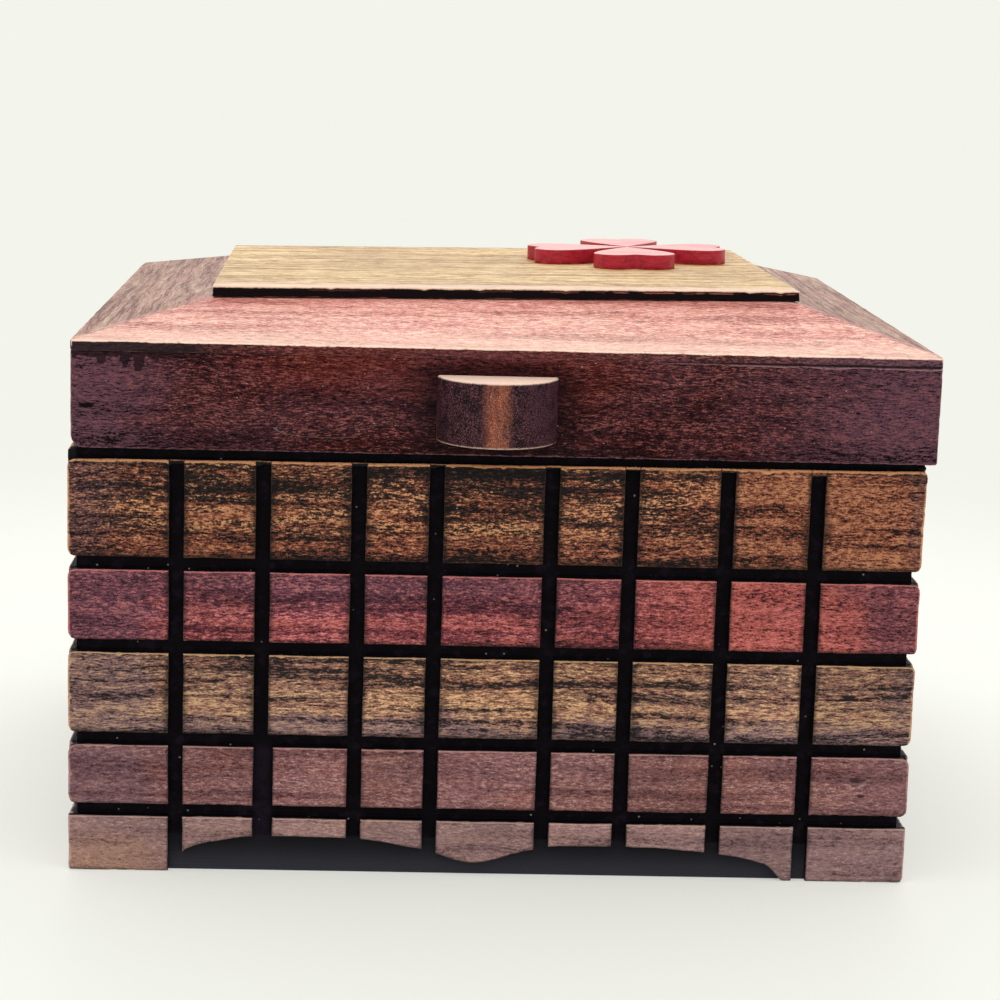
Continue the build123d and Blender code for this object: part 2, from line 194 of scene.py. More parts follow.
class LidShape(bpy.types.PropertyGroup):
    shift: length("Shift", "How far the lid sits to the right", 1.4)
    edge: length("Edge", "Square edge of the top board under its bevels", 2.3)
    rise: length("Rise", "From the bevels' foot to the middle of the flat", 7.6)
    run_side: length("Side run", "Width of the bevels at the two sides", 30.7)
    run_front: length("Front run", "Width of the bevels at the front and back", 32.9)
    soften: length("Soften", "How far the ridges between bevels are sanded down", 0.22)
    worn_corner: length("Worn corner", "Rounding of the frame's lower left corner", 3.0)
    tilt: angle("Tilt", "Slope of the flat, up to the right", 0.72)
    pitch: angle("Pitch", "Slope of the flat, up to the front", 0.42)
    turn: angle("Turn", "How far the plaque is turned on the flat", 0.77)
    plaque_width: length("Plaque width", "Left to right", 142.0)
    plaque_depth: length("Plaque depth", "Front to back", 116.0)
    plaque_thickness: length("Plaque thickness", "Height of its edge", 2.5)
    heart_length: length("Heart length", "From the tip to the lobes", 25.8)
    heart_width: length("Heart width", "Across the lobes", 21.4)
    heart_thickness: length("Heart thickness", "Height of a heart", 4.0)
    heart_gap: length("Heart gap", "From the clover's centre to a tip", 0.45)
    margin_right: length("Margin, right", "From the clover to the plaque's right edge", 7.9)
    margin_back: length("Margin, back", "From the clover to the plaque's back edge", 11.8)
    outline_points: IntProperty(
        name="Outline points", description="Points round a heart or the grip", default=120, min=24)


class BoxPaints(bpy.types.PropertyGroup):
    gap: colour("Gap", "Black stain in the gaps", (7, 4, 7))
    # Painted sheen: the purple that the black in the gaps is lightened to in cloudy patches
    gap_sheen: colour("Gap sheen", "Purple cast of the stain in the gaps", (30, 22, 33))
    arch: colour("Arch", "Bare black wood under the arches", (26, 26, 30))
    edge: colour("Plaque edge", "Scorched edge of the plaque", (12, 2, 4))
    ply: colour("Ply", "Outer plies that show in the plaque's edge", (158, 92, 80))
    # Painted highlight along the front of the plaque's face
    rim: colour("Plaque rim", "Face of the plaque rubbed pale along its front", (240, 206, 194))
    # Only used for the painted glints on the grip's nose
    worn: colour("Worn wood", "Wood that shows where an edge is rubbed bare", (206, 160, 132))
    seam: colour("Seam", "Chipped finish along the seam under the top board", (168, 124, 128))
    dust: colour("Dust", "Specks of dust in the finish", (214, 196, 190))
    heart_side: colour("Heart side", "Crimson on the sides of the hearts", (176, 22, 46))
    # Painted sheen: this paler crimson on the hearts' tops stands for the light they catch
    heart_top: colour("Heart top", "Crimson rubbed thin on the hearts' tops", (221, 146, 138))
    brass: colour("Brass", "Hinge leaves and screws", (196, 158, 92))
    tarnish: colour("Tarnish", "Browned brass in the corners", (92, 66, 38))
    steel: colour("Steel", "Hinge pins", (150, 148, 144))


class StageSettings(bpy.types.PropertyGroup):
    camera_place: FloatVectorProperty(
        name="Camera place", description="Where the camera stands", subtype="TRANSLATION",
        default=(-0.0274, -0.6655, 0.2032))
    camera_turn: FloatVectorProperty(
        name="Camera turn", description="How the camera is turned", subtype="EULER",
        default=tuple(math.radians(part) for part in (79.0393, -1.4641, -1.3208)))
    lens: number("Lens", "Focal length in millimetres", 91.01)
    shift: number("Shift", "Sideways lens shift", 0.05)
    floor: colour("Floor", "Floor near the box", (241, 241, 233))
    backdrop: colour("Backdrop", "Floor far off and all that lies behind", (243, 244, 235))
    sky: number("Sky", "Strength of the light from all round", 1.1)
    dim: number("Dim side", "Share of that light from the camera's side", 0.92)
    softbox: number("Softbox", "Watts of the light over the box", 2.6)


class WoodenBoxSettings(bpy.types.PropertyGroup):
    __annotations__ = {
        name: PointerProperty(type=kind, name=name.replace("_", " ").capitalize())
        for name, kind in {"shape": BoxShape, "lid": LidShape, "paints": BoxPaints,
                           "stage": StageSettings, **STAINS}.items()
    }


def settings():
    return bpy.context.scene.wooden_box


# Surfaces

# Angles of the lines round an arris, and how bare each is rubbed: most in the middle
ARRIS_LINES = 5
ARRIS_ANGLES = np.linspace(0, math.pi / 2, ARRIS_LINES)
ARRIS_RUB = np.sin(2 * ARRIS_ANGLES)

# Radius of an edge that is as good as square, a distance that stands for no gap near by, and how
# far under the gap over a block its paint starts, because the top arris shows bare wood
SQUARE = 0.03 * MM
FAR_OFF = 50 * MM
BARE_TOP = 0.35 * MM


def wander(along, seed, wavelength):
    """Smooth noise from -1 to 1: the mean of six sine waves whose lengths lie round the one named
    and whose phases are drawn from the seed."""
    draw = np.random.default_rng(seed)
    spacing = wavelength * draw.uniform(0.6, 2.4, 6)
    phases = draw.uniform(0, 2 * math.pi, 6)
    waves = np.sin(2 * math.pi * np.asarray(along, float)[..., None] / spacing + phases)
    return np.clip(waves.mean(-1) * 1.8, -1, 1)


def dip(along, seed, wavelength):
    """The same smooth noise, moved to lie from 0 to 1."""
    return 0.5 + 0.5 * wander(along, seed, wavelength)


def curve_through(knots, values, places):
    """A smooth line through the knots that never overshoots them: cubic pieces whose slope at a
    knot is the harmonic mean of the slopes on its two sides, or level at a peak."""
    knots, values = np.asarray(knots, float), np.asarray(values, float)
    steps = np.diff(knots)
    slopes = np.diff(values) / steps
    product = slopes[1:] * slopes[:-1]
    total = np.where(product > 0, slopes[1:] + slopes[:-1], 1)
    inner = np.where(product > 0, 2 * product / total, 0)
    slope = np.concatenate([slopes[:1], inner, slopes[-1:]])
    piece = np.clip(np.searchsorted(knots, places) - 1, 0, len(steps) - 1)
    share = np.clip((places - knots[piece]) / steps[piece], 0, 1)
    rise = values[piece + 1] - values[piece]
    start, end = slope[piece] * steps[piece], slope[piece + 1] * steps[piece]
    square, cube = 3 * rise - 2 * start - end, start + end - 2 * rise
    return values[piece] + start * share + square * share**2 + cube * share**3


def arch_height(points, across):
    """Height of the outline under the bottom row, and nothing outside its feet."""
    knots, heights = np.array(points).T * MM
    inside = (across > knots[0]) & (across < knots[-1])
    return np.where(inside, curve_through(knots, heights, across), 0)


def grid_line(span, step):
    """The lines of a grid from one edge to the other: those round the near arris, an even run
    between, and those round the far one. For each line it gives the shares of the near radius, of
    the run and of the far radius that lie behind it, and how far it lies down in each radius."""
    run = np.linspace(0, 1, max(3, round(span / step)) + 1)[1:-1]
    inward, down = 1 - np.cos(ARRIS_ANGLES), 1 - np.sin(ARRIS_ANGLES)
    none, rest = np.zeros(ARRIS_LINES), np.zeros(len(run) + ARRIS_LINES)
    near = np.concatenate([inward, rest + 1])
    middle = np.concatenate([none, run, none + 1])
    far = np.concatenate([rest, 1 - inward[::-1]])
    near_down = np.concatenate([down, rest])
    return near, middle, far, near_down, near_down[::-1]


def round_corner(u, v, corner_u, corner_v, side_u, side_v, radius):
    """Draws a square corner of the grid in to a quarter circle: a point's larger distance from
    the circle's centre along the two axes becomes its distance in a straight line."""
    out_u = 1 - side_u * (u - corner_u) / radius
    out_v = 1 - side_v * (v - corner_v) / radius
    inside = (out_u > 0) & (out_v > 0)
    straight = np.maximum(np.hypot(out_u, out_v), 1e-9)
    factor = np.where(inside, np.maximum(out_u, out_v) / straight, 1)
    return (
        np.where(inside, corner_u + side_u * radius * (1 - out_u * factor), u),
        np.where(inside, corner_v + side_v * radius * (1 - out_v * factor), v),
    )


def worn_radius(along, radius, chip, seed):
    """Radius of a rubbed edge along its length: the plain radius with a slow waver, and chips
    where a quicker waver peaks."""
    slow, quick = 11 * MM, 3.1 * MM
    chips = np.clip(wander(along, seed + 7, quick) - 0.5, 0, None) * 2
    return radius * (1 + 0.3 * wander(along, seed, slow)) + chip * chips


def slab(ends, low, high, height, radii, step, wobble, seed, gaps=(1, 1, 1, 1), corners=None,
         rubs=(0.1, 0.1, 0.1, 1)):
    """A worn board lying on a plane, as (across, up, out) points. Its face is a grid over the
    board's outline, drawn down round the four arrises; its wall drops straight from the rim of
    the grid to the plane, and one flat face closes it below. ends, low and high are the outline,
    height is the face's height over the plane, and radii are the four arris functions. gaps says
    which sides, left, right, low and high, face a painted gap, and rubs how far their arrises
    are lightened: rubbed bare, and at the blocks' top arris partly a painted highlight. Returns
    the points, the quads, the flat face, each point's distance from the nearest gap, negative
    down in it, and how far each point is lightened that way."""
    left, right = ends
    low_at = low if callable(low) else lambda u: np.full_like(u, low)
    high_at = high if callable(high) else lambda u: np.full_like(u, high)
    middle = np.array([(left + right) / 2])
    tall = float(high_at(middle)[0] - low_at(middle)[0])
    near_u, run_u, far_u, down_left, down_right = grid_line(right - left, step)
    near_v, run_v, far_v, down_low, down_high = grid_line(tall, step)
    across = left + run_u * (right - left)
    up = float(low_at(middle)[0]) + run_v * tall
    edges, waver = (up, up, across, across), 17 * MM
    inset = [wobble * dip(line, seed + k, waver) for k, line in enumerate(edges)]
    radius = [arris(line) for arris, line in zip(radii, edges)]
    start, end = left + inset[0][:, None], right - inset[1][:, None]
    r_left, r_right = radius[0][:, None], radius[1][:, None]
    u = start + near_u * r_left + run_u * (end - start - r_left - r_right) + far_u * r_right
    floor, roof = low_at(u) + inset[2], high_at(u) - inset[3]
    r_low, r_high = radius[2][None, :], radius[3][None, :]
    v = floor + near_v[:, None] * r_low + run_v[:, None] * (roof - floor - r_low - r_high)
    v = v + far_v[:, None] * r_high
    sunk = (down_left * r_left + down_right * r_right + down_low[:, None] * r_low
            + down_high[:, None] * r_high)
    rub = np.zeros_like(u)
    for lines, share in zip((rub.T, rub.T[::-1], rub, rub[::-1]), rubs):
        arris = lines[:ARRIS_LINES]
        np.maximum(arris, share * ARRIS_RUB[:, None], out=arris)
    distances = [u - start, end - u, v - floor, roof - v]
    lifts = [0 if gap else FAR_OFF for gap in gaps]
    lifts[3] += BARE_TOP
    gap = np.minimum.reduce([away + lift for away, lift in zip(distances, lifts)])
    places = ((left, low_at, 1, 1), (right, low_at, -1, 1), (right, high_at, -1, -1),
              (left, high_at, 1, -1))
    for (corner_u, line, side_u, side_v), size in zip(places, corners or ()):
        if size:
            corner_v = float(line(np.array([corner_u]))[0])
            u, v = round_corner(u, v, corner_u, corner_v, side_u, side_v, size)
    out = (height(u, v) if callable(height) else height) - sunk
    rows, columns = u.shape
    index = np.arange(rows * columns).reshape(rows, columns)
    quads = np.stack([index[:-1, :-1], index[:-1, 1:], index[1:, 1:], index[1:, :-1]], -1)
    rim = np.concatenate([index[0, :-1], index[:-1, -1], index[-1, :0:-1], index[:0:-1, 0]])
    base = rows * columns + np.arange(len(rim))
    wall = np.stack([rim, base, np.roll(base, -1), np.roll(rim, -1)], -1)
    points = np.stack([u, v, out + np.zeros_like(u)], -1).reshape(-1, 3)
    painted = np.repeat([gaps[2], gaps[1], gaps[3], gaps[0]], [columns - 1, rows - 1] * 2)
    foot_gap = gap.reshape(-1)[rim] - painted * points[rim, 2]
    return (
        np.concatenate([points, points[rim] * (1, 1, 0)]),
        np.concatenate([quads.reshape(-1, 4), wall]),
        base[::-1],
        np.concatenate([gap.reshape(-1), foot_gap]),
        np.concatenate([rub.reshape(-1), np.zeros(len(rim))]),
    )


def ring_solid(outline, centre, profile):
    """A closed solid from rings of one outline: each ring is the outline drawn in towards the
    centre to a share of its size, at its own height, and the first and last rings are single
    points. Returns the points, and the faces as arrays of their corners."""
    count = len(outline)
    shares, heights = np.array(profile).T
    rings = centre + shares[1:-1, None, None] * (outline - centre)
    levels = np.broadcast_to(heights[1:-1, None, None], (len(shares) - 2, count, 1))
    points = np.concatenate([rings, levels], -1).reshape(-1, 3)
    points = np.concatenate([points, [[*centre, heights[0]], [*centre, heights[-1]]]])
    index = np.arange((len(shares) - 2) * count).reshape(-1, count)
    onward = np.roll(index, -1, 1)
    quads = np.stack([index[:-1], onward[:-1], onward[1:], index[1:]], -1).reshape(-1, 4)
    bottom, top = len(points) - 2, len(points) - 1
    low = np.stack([np.full(count, bottom), onward[0], index[0]], -1)
    high = np.stack([np.full(count, top), index[-1], onward[-1]], -1)
    return points, (quads, low, high)


def rounded_top(top, radius, inward):
    """The rings round the top edge of a ring solid: a quarter circle of the radius, whose foot is
    drawn in by nothing and whose top by the share named."""
    return [(1 - inward * (1 - math.cos(angle)), top - radius * (1 - math.sin(angle)))
            for angle in ARRIS_ANGLES]


class Shells:
    """The points, faces and point values of one piece, gathered shell by shell."""

    def __init__(self):
        self.points, self.faces, self.count = [], [], 0
        self.values = {"gap": [], "tone": [], "rub": []}

    def add(self, points, faces, gap=FAR_OFF, tone=0.5, rub=0.0):
        self.points.append(points)
        for alike in faces:
            self.faces += (alike + self.count).tolist()
        for title, value in (("gap", gap), ("tone", tone), ("rub", rub)):
            self.values[title].append(np.broadcast_to(value, len(points)))
        self.count += len(points)

    def add_slab(self, place, *arguments, tone=0.5, **options):
        """A slab, set in the frame that place gives as an origin and three directions."""
        points, quads, flat, gap, rub = slab(*arguments, **options)
        origin, across, up, out = (np.asarray(part, float) for part in place)
        points = origin + points @ np.stack([across, up, out])
        self.add(points, (quads, flat[None]), gap, tone, rub)


def finish_piece(name, shells, material, body, slot, *replaced, sharp=38):
    """Makes the piece's mesh with its point values, and says what it rides on and stands for."""
    mesh = bpy.data.meshes.new(name)
    mesh.from_pydata(np.concatenate(shells.points).tolist(), [], shells.faces)
    for title, values in shells.values.items():
        attribute = mesh.attributes.new(title, "FLOAT", "POINT")
        attribute.data.foreach_set("value", np.concatenate(values).astype(np.float32))
    mesh.polygons.foreach_set("use_smooth", np.ones(len(mesh.polygons), bool))
    mesh.update()
    mesh.set_sharp_from_angle(angle=math.radians(sharp))
    mesh.materials.append(material)
    piece = bpy.data.objects.new(name, mesh)
    bpy.context.scene.collection.objects.link(piece)
    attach(piece, body)
    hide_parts(*replaced)


def dress(nodes, material):
    """Gives CAD nodes that keep their shape a better finish."""
    for name in nodes:
        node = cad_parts[name]
        node.data.materials.clear()
        node.data.materials.append(material)


# Node trees

def arithmetic(operation, swapped=False):
    """A method that puts in one node for an operation on a wire and another value."""
    def combine(self, other):
        return self.net.calc(operation, *((other, self) if swapped else (self, other)))

    return combine


class Wire:
    """A node's output. Plain arithmetic on it puts further nodes into its tree."""

    def __init__(self, net, socket):
        self.net, self.socket = net, socket

    __add__ = __radd__ = arithmetic("ADD")
    __mul__ = __rmul__ = arithmetic("MULTIPLY")
    __sub__, __rsub__ = arithmetic("SUBTRACT"), arithmetic("SUBTRACT", swapped=True)
    __truediv__, __rtruediv__ = arithmetic("DIVIDE"), arithmetic("DIVIDE", swapped=True)

    def __abs__(self):
        return self.net.calc("ABSOLUTE", self)

    def beside(self, key):
        """Another output of the same node."""
        return Wire(self.net, self.socket.node.outputs[key])


class Net:
    """Puts nodes into one tree, and links or sets their inputs."""

    def __init__(self, tree):
        self.tree = tree

    def give(self, socket, value):
        """Links or sets one input. A single number does for a vector, and three for a colour."""
        if isinstance(value, Wire):
            self.tree.links.new(value.socket, socket)
        elif socket.type == "RGBA":
            socket.default_value = (*value, 1)[:4]
        elif socket.type == "VECTOR" and isinstance(value, (int, float)):
            socket.default_value = (value,) * 3
        else:
            socket.default_value = value

    def put(self, kind, *inputs, output=0, options=None, **named):
        node = self.tree.nodes.new("ShaderNode" + kind)
        for key, value in (options or {}).items():
            setattr(node, key, value)
        for key, value in [*enumerate(inputs), *named.items()]:
            if value is not None:
                self.give(node.inputs[key], value)
        return Wire(self, node.outputs[output])

    def calc(self, operation, *values):
        """A Math node, or a VectorMath node where one of the values has three parts."""
        vector = any(value.socket.type != "VALUE" if isinstance(value, Wire) else np.size(value) > 1
                     for value in values)
        return self.put("VectorMath" if vector else "Math", *values, options={"operation": operation})

    def distance(self, vector):
        return self.put("VectorMath", vector, output=1, options={"operation": "LENGTH"})

    def span(self, value, low, high, to_low=0.0, to_high=1.0, shape="SMOOTHSTEP"):
        """Maps low to high onto 0 to 1, or the two values named, and holds it there."""
        return self.put("MapRange", value, low, high, to_low, to_high,
                        options={"interpolation_type": shape, "clamp": True})

    def mix(self, factor, first, second, blend="MIX"):
        return self.put("Mix", factor, *[None] * 5, first, second, output=2,
                        options={"data_type": "RGBA", "blend_type": blend})

    def noise(self, vector, scale=1.0, detail=2.0, roughness=0.5, distortion=0.0, output=0):
        """Noise with a number of finer layers, detail, and their strength, roughness. Output 0
        is one value and output 1 a colour."""
        return self.put("TexNoise", output=output, Vector=vector, Scale=scale, Detail=detail,
                        Roughness=roughness, Distortion=distortion)

    def axes(self, vector):
        """The parts of a vector, by the names X, Y and Z."""
        parts = self.put("SeparateXYZ", vector)
        return {axis: parts.beside(axis) for axis in "XYZ"}

    def turned(self, place):
        """The place a quarter turn round, so that X runs along the box's sides."""
        return self.put("Mapping", place, Rotation=(0, 0, -math.pi / 2))

    def point_value(self, name):
        return self.put("Attribute", output=2, options={"attribute_name": name})

    def group(self, fill, **inputs):
        """Uses the shader group that a function fills, and gives its outputs in their order."""
        node = self.tree.nodes.new("ShaderNodeGroup")
        node.node_tree = filled_group(fill)
        for name, value in inputs.items():
            self.give(node.inputs[name], value)
        return [Wire(self, socket) for socket in node.outputs]


def filled_group(fill):
    """The shader group that a function fills, built the first time it is asked for. The
    function's arguments are its inputs, vectors where the default is three numbers and colours
    where it is four, and what the function returns are its outputs."""
    tree = bpy.data.node_groups.get(fill.__name__)
    if tree:
        return tree
    tree = bpy.data.node_groups.new(fill.__name__, "ShaderNodeTree")
    names = list(inspect.signature(fill).parameters)[1:]
    for name, default in zip(names, fill.__defaults__):
        kind = {1: "Float", 3: "Vector", 4: "Color"}[np.size(default)]
        socket = tree.interface.new_socket(name, in_out="INPUT", socket_type="NodeSocket" + kind)
        socket.default_value = default
    net = Net(tree)
    given = tree.nodes.new("NodeGroupInput").outputs
    made = fill(net, **{name: Wire(net, given[name]) for name in names})
    for name, wire in made.items():
        kind = "Color" if wire.socket.type == "RGBA" else "Float"
        tree.interface.new_socket(name, in_out="OUTPUT", socket_type="NodeSocket" + kind)
    result = tree.nodes.new("NodeGroupOutput").inputs
    for name, wire in made.items():
        net.give(result[name], wire)
    return tree


PLACE = (0.0, 0.0, 0.0)
BLACK = (0.0, 0.0, 0.0, 1.0)


def wood_figure(net, vector=PLACE, fibre_length=2.4, fibre_width=0.34, streak_length=60.0,
                streak_width=3.0, waviness=1.0):
    """Wood figure with the grain along X: fibres, specks and long streaks are noise drawn out
    along the grain and bent by a slow noise; patches are a slow noise of their own."""
    place = vector * 1000
    drift = (net.noise(place, 0.035, output=1) - 0.5) * waviness * (2, 4, 4)
    quick = (net.noise(place * (0.2, 0.5, 0.5), detail=1, output=1) - 0.5) * (0, 0.4, 0.4)
    bent = place + drift + quick

    def drawn_out(long, wide, detail, roughness, shift):
        stretch = net.put("CombineXYZ", 1 / long, 1 / wide, 1 / wide)
        return net.noise(bent * stretch + shift, 1, detail, roughness)

    coarse = drawn_out(fibre_length, fibre_width, 1, 0.5, (0, 0, 0))
    fine = drawn_out(0.35 * fibre_length, 0.55 * fibre_width, 1, 0.5, (9.1, 4.7, 2.3))
    specks = net.noise(bent * (2.2, 3.4, 3.4), detail=1)
    fibre = net.span(0.46 * coarse + 0.32 * fine + 0.22 * specks, 0.35, 0.65, shape="LINEAR")
    streak = net.span(drawn_out(streak_length, streak_width, 4, 0.6, (3.3, 7.7, 5.1)), 0.44, 0.64)
    patch = net.noise(place * (0.022, 0.05, 0.05))
    hue = net.noise(bent * (0.06, 0.42, 0.42), 1, 3, 0.65)
    return {"fibre": fibre, "streak": streak, "patch": net.span(patch, 0.4, 0.62),
            "drift": net.span(hue, 0.42, 0.62), "height": fibre - 0.4 * streak}


def wood_stain(net, fibre=0.5, streak=0.0, tinted=0.0, blushed=0.0, dimmed=0.0, dark=BLACK,
               base=BLACK, light=BLACK, tint=BLACK, blush=BLACK, contrast=1.0, streaks=0.5):
    """Colour of stained wood: fibres go from dark over base to light, streaks pull them down, and
    the tint and the blush take over zones without losing the fibres."""
    level = (fibre - 0.5) * contrast + 0.5 - (streak - 0.35) * streaks - dimmed

    def ramp(middle, lightness):
        low = net.mix(net.span(level, 0, 0.5, shape="LINEAR"), dark, middle)
        return net.mix(net.span(level, 0.48, 1.15), low, net.mix(lightness, middle, light))

    body = net.mix(blushed, ramp(base, 1.0), ramp(blush, 0.6))
    return {"body": net.mix(tinted, body, ramp(tint, 0.4))}


def paint_creep(net, distance=1.0, vector=PLACE, creep=0.1):
    """Where paint from a gap creeps over an edge: the distance from the gap, roughened by noise,
    held under a limit."""
    rough = net.noise(vector * 1000, 1.1, 3, 0.65)
    return {"mask": net.span(distance * 1000 - creep + 0.3 * (rough - 0.5), 0.12, -0.12)}


def dust_specks(net, vector=PLACE, spacing=3.0, size=0.2, share=0.5):
    """Specks of dust: the cores of scattered cells, kept in some cells and not in others."""
    cells = net.put("TexVoronoi", Vector=vector * 1000 * (1 / spacing), Scale=1.0)
    chance = net.put("SeparateColor", cells.beside("Color"))
    size = size * net.span(chance.beside("Green"), 0, 1, 0.4, 1.25, "LINEAR")
    core = net.span(cells * spacing, size, 0.5 * size)
    return {"mask": core * net.calc("LESS_THAN", chance, share)}


def fine_scratches(net, vector=PLACE, share=0.4):
    """Fine curved scratches: the level lines of a slow noise, kept where a second noise is high."""
    place = vector * 1000 * (0.35, 1.0, 1.5) / 20 + (12.4, 3.1, 6.6)
    line = abs(net.noise(place, 1, 2, 0.6, 0.3) - 0.5)
    where = net.noise(place + (5.2, 1.3, 8.1), 1.4, 1)
    limit = 0.72 - 0.3 * share
    return {"mask": net.span(line, 0.004, 0) * net.span(where, limit, limit + 0.05)}


def start_material(name):
    """A material with its surface shader, the net that feeds it, and its place on the object."""
    material = bpy.data.materials.new(name)
    material.use_nodes = True
    net = Net(material.node_tree)
    shader = next(n for n in net.tree.nodes if n.type == "BSDF_PRINCIPLED")
    return material, net, shader, net.put("TexCoord", output=3)


def feed(net, shader, body, roughness, height, *, bump, reach, gloss=0.5):
    """Gives a finish's colour, roughness, bump and gloss to the surface shader. bump is the
    strength of the relief and reach its depth in millimetres."""
    normal = net.put("Bump", Strength=bump, Distance=reach * MM, Height=height)
    for name, value in (("Base Color", body), ("Roughness", roughness), ("Normal", normal),
                        ("Specular IOR Level", gloss)):
        net.give(shader.inputs[name], value)


def zones(net, axes, *listed, start=0.0):
    """The strongest of the zones listed at each point. A zone is its strength and then one or
    more limits, and a limit is an axis, where the zone starts and where it is full, in mm."""
    total = start
    for strength, *limits in listed:
        mask = strength
        for axis, starts, full in limits:
            mask = net.span(axes[axis], starts * MM, full * MM) * mask
        total = net.calc("MAXIMUM", total, mask)
    return total


def times(paint, share):
    return tuple(part * share for part in paint)


def stained(net, place, stain, shift=(0, 0, 0), fibre=(1.6, 0.45), streak=(60.0, 3.0), wavy=1.0,
            contrast=1.0, streaks=0.5, patchy=0.3, drift=0.5, tint_zones=(), blush_zones=(),
            dim_zones=(), knots=()):
    """Colour of stained wood with its grain along X, its fibres and its bump height. A knot is a
    dark spot, drawn out along the grain, given by its X, its Z and its radius in millimetres."""
    moved = net.put("Mapping", place, Location=times(shift, MM))
    fibres, streak_mask, patch, hue, height = net.group(
        wood_figure, vector=moved, fibre_length=fibre[0], fibre_width=fibre[1],
        streak_length=streak[0], streak_width=streak[1], waviness=wavy)
    # The zones' borders wander by a few millimetres
    bend = net.noise(moved * (60, 110, 110), 1, 3, 0.6, output=1)
    bend = (bend - 0.5) * (0.03, 0.01, 0.01)
    axes = net.axes(place + bend)
    dimmed = zones(net, axes, *dim_zones)
    for x, z, radius in knots:
        away = (place - (x * MM, 0, z * MM)) * (0.45, 0, 1) + bend * (0.1, 0, 0.15)
        spot = net.span(net.distance(away), 1.5 * radius * MM, 0.4 * radius * MM, 0, 0.6)
        dimmed = net.calc("MAXIMUM", dimmed, spot)
    (body,) = net.group(
        wood_stain, fibre=fibres, streak=streak_mask,
        tinted=zones(net, axes, *tint_zones, start=patch * patchy),
        blushed=zones(net, axes, *blush_zones, start=hue * drift), dimmed=dimmed,
        contrast=contrast, streaks=streaks, **{part: getattr(stain, part) for part in STAIN_PARTS})
    return body, fibres, height


def wood(name, stain, turned=False, rough=(0.5, 0.66), gloss=0.15, bump=0.6, creep=None,
         halo=(1.2, 0.6), dusty=0.0, dust_size=0.16, scratched=0.0, rubbed=0.0, bare=None,
         extra=None, **look):
    """A material of stained wood. Zones are set after the turn, so X runs along the grain. creep
    is how far the paint in the gaps comes over their edges, and the halo setting gives how far,
    in millimetres, and how much painted shade darkens the wood beside them. rubbed is how much of
    the stain is gone where the piece's edges are rubbed, down to the colour given by bare; at the
    blocks' top arris this lightening is partly a painted highlight."""
    paints = settings().paints
    material, net, shader, place = start_material(name)
    if turned:
        place = net.turned(place)
    body, fibres, height = stained(net, place, stain, **look)
    axes = net.axes(place)
    if extra:
        body = extra(net, body, axes, place)
    if scratched:
        (lines,) = net.group(fine_scratches, vector=place, share=scratched)
        left = 0.22 * net.span(axes["X"], -6 * MM, -20 * MM)
        body = net.mix(lines * left, body, paints.dust)
    if dusty:
        (specks,) = net.group(dust_specks, vector=place * (0.55, 1, 1), spacing=1.8,
                              size=dust_size, share=dusty)
        body = net.mix(0.5 * specks, body, paints.dust)
    distance = net.point_value("gap")
    if creep is not None:
        tone = net.span(net.point_value("tone"), 0, 1, 0.84, 1.12, "LINEAR")
        # Painted shade beside the gaps: the wood darkens over the halo's width, unevenly
        uneven = net.span(net.noise(place * 1000, 0.12), 0.35, 0.65, 0.6, 1.6)
        near = net.span(distance * uneven, 0.1 * MM, halo[0] * MM, halo[1], 1)
        body = net.mix(1, net.mix(1, body, tone, "MULTIPLY"), near, "MULTIPLY")
    if rubbed:
        grain = net.span(net.noise(place * 1000, 0.9, 3, 0.6), 0.3, 0.6, 0.35, 1.4)
        share = net.span(net.point_value("rub") * grain, 0, 0.7, 0, rubbed)
        body = net.mix(share, body, bare or stain.light)
    if creep is not None:
        (painted,) = net.group(paint_creep, distance=distance, vector=place, creep=creep)
        body = net.mix(painted, body, paints.gap)
    roughness = net.span(fibres, 0, 1, rough[1], rough[0], "LINEAR")
    feed(net, shader, body, roughness, height, bump=bump, reach=0.25, gloss=gloss)
    return material


# Box

# Each row's material slot
ROW_SLOTS = {1: "row_brown_gold", 2: "row_red", 3: "row_golden_brown", 4: "row_mauve_brown",
             5: "row_grey_brown"}

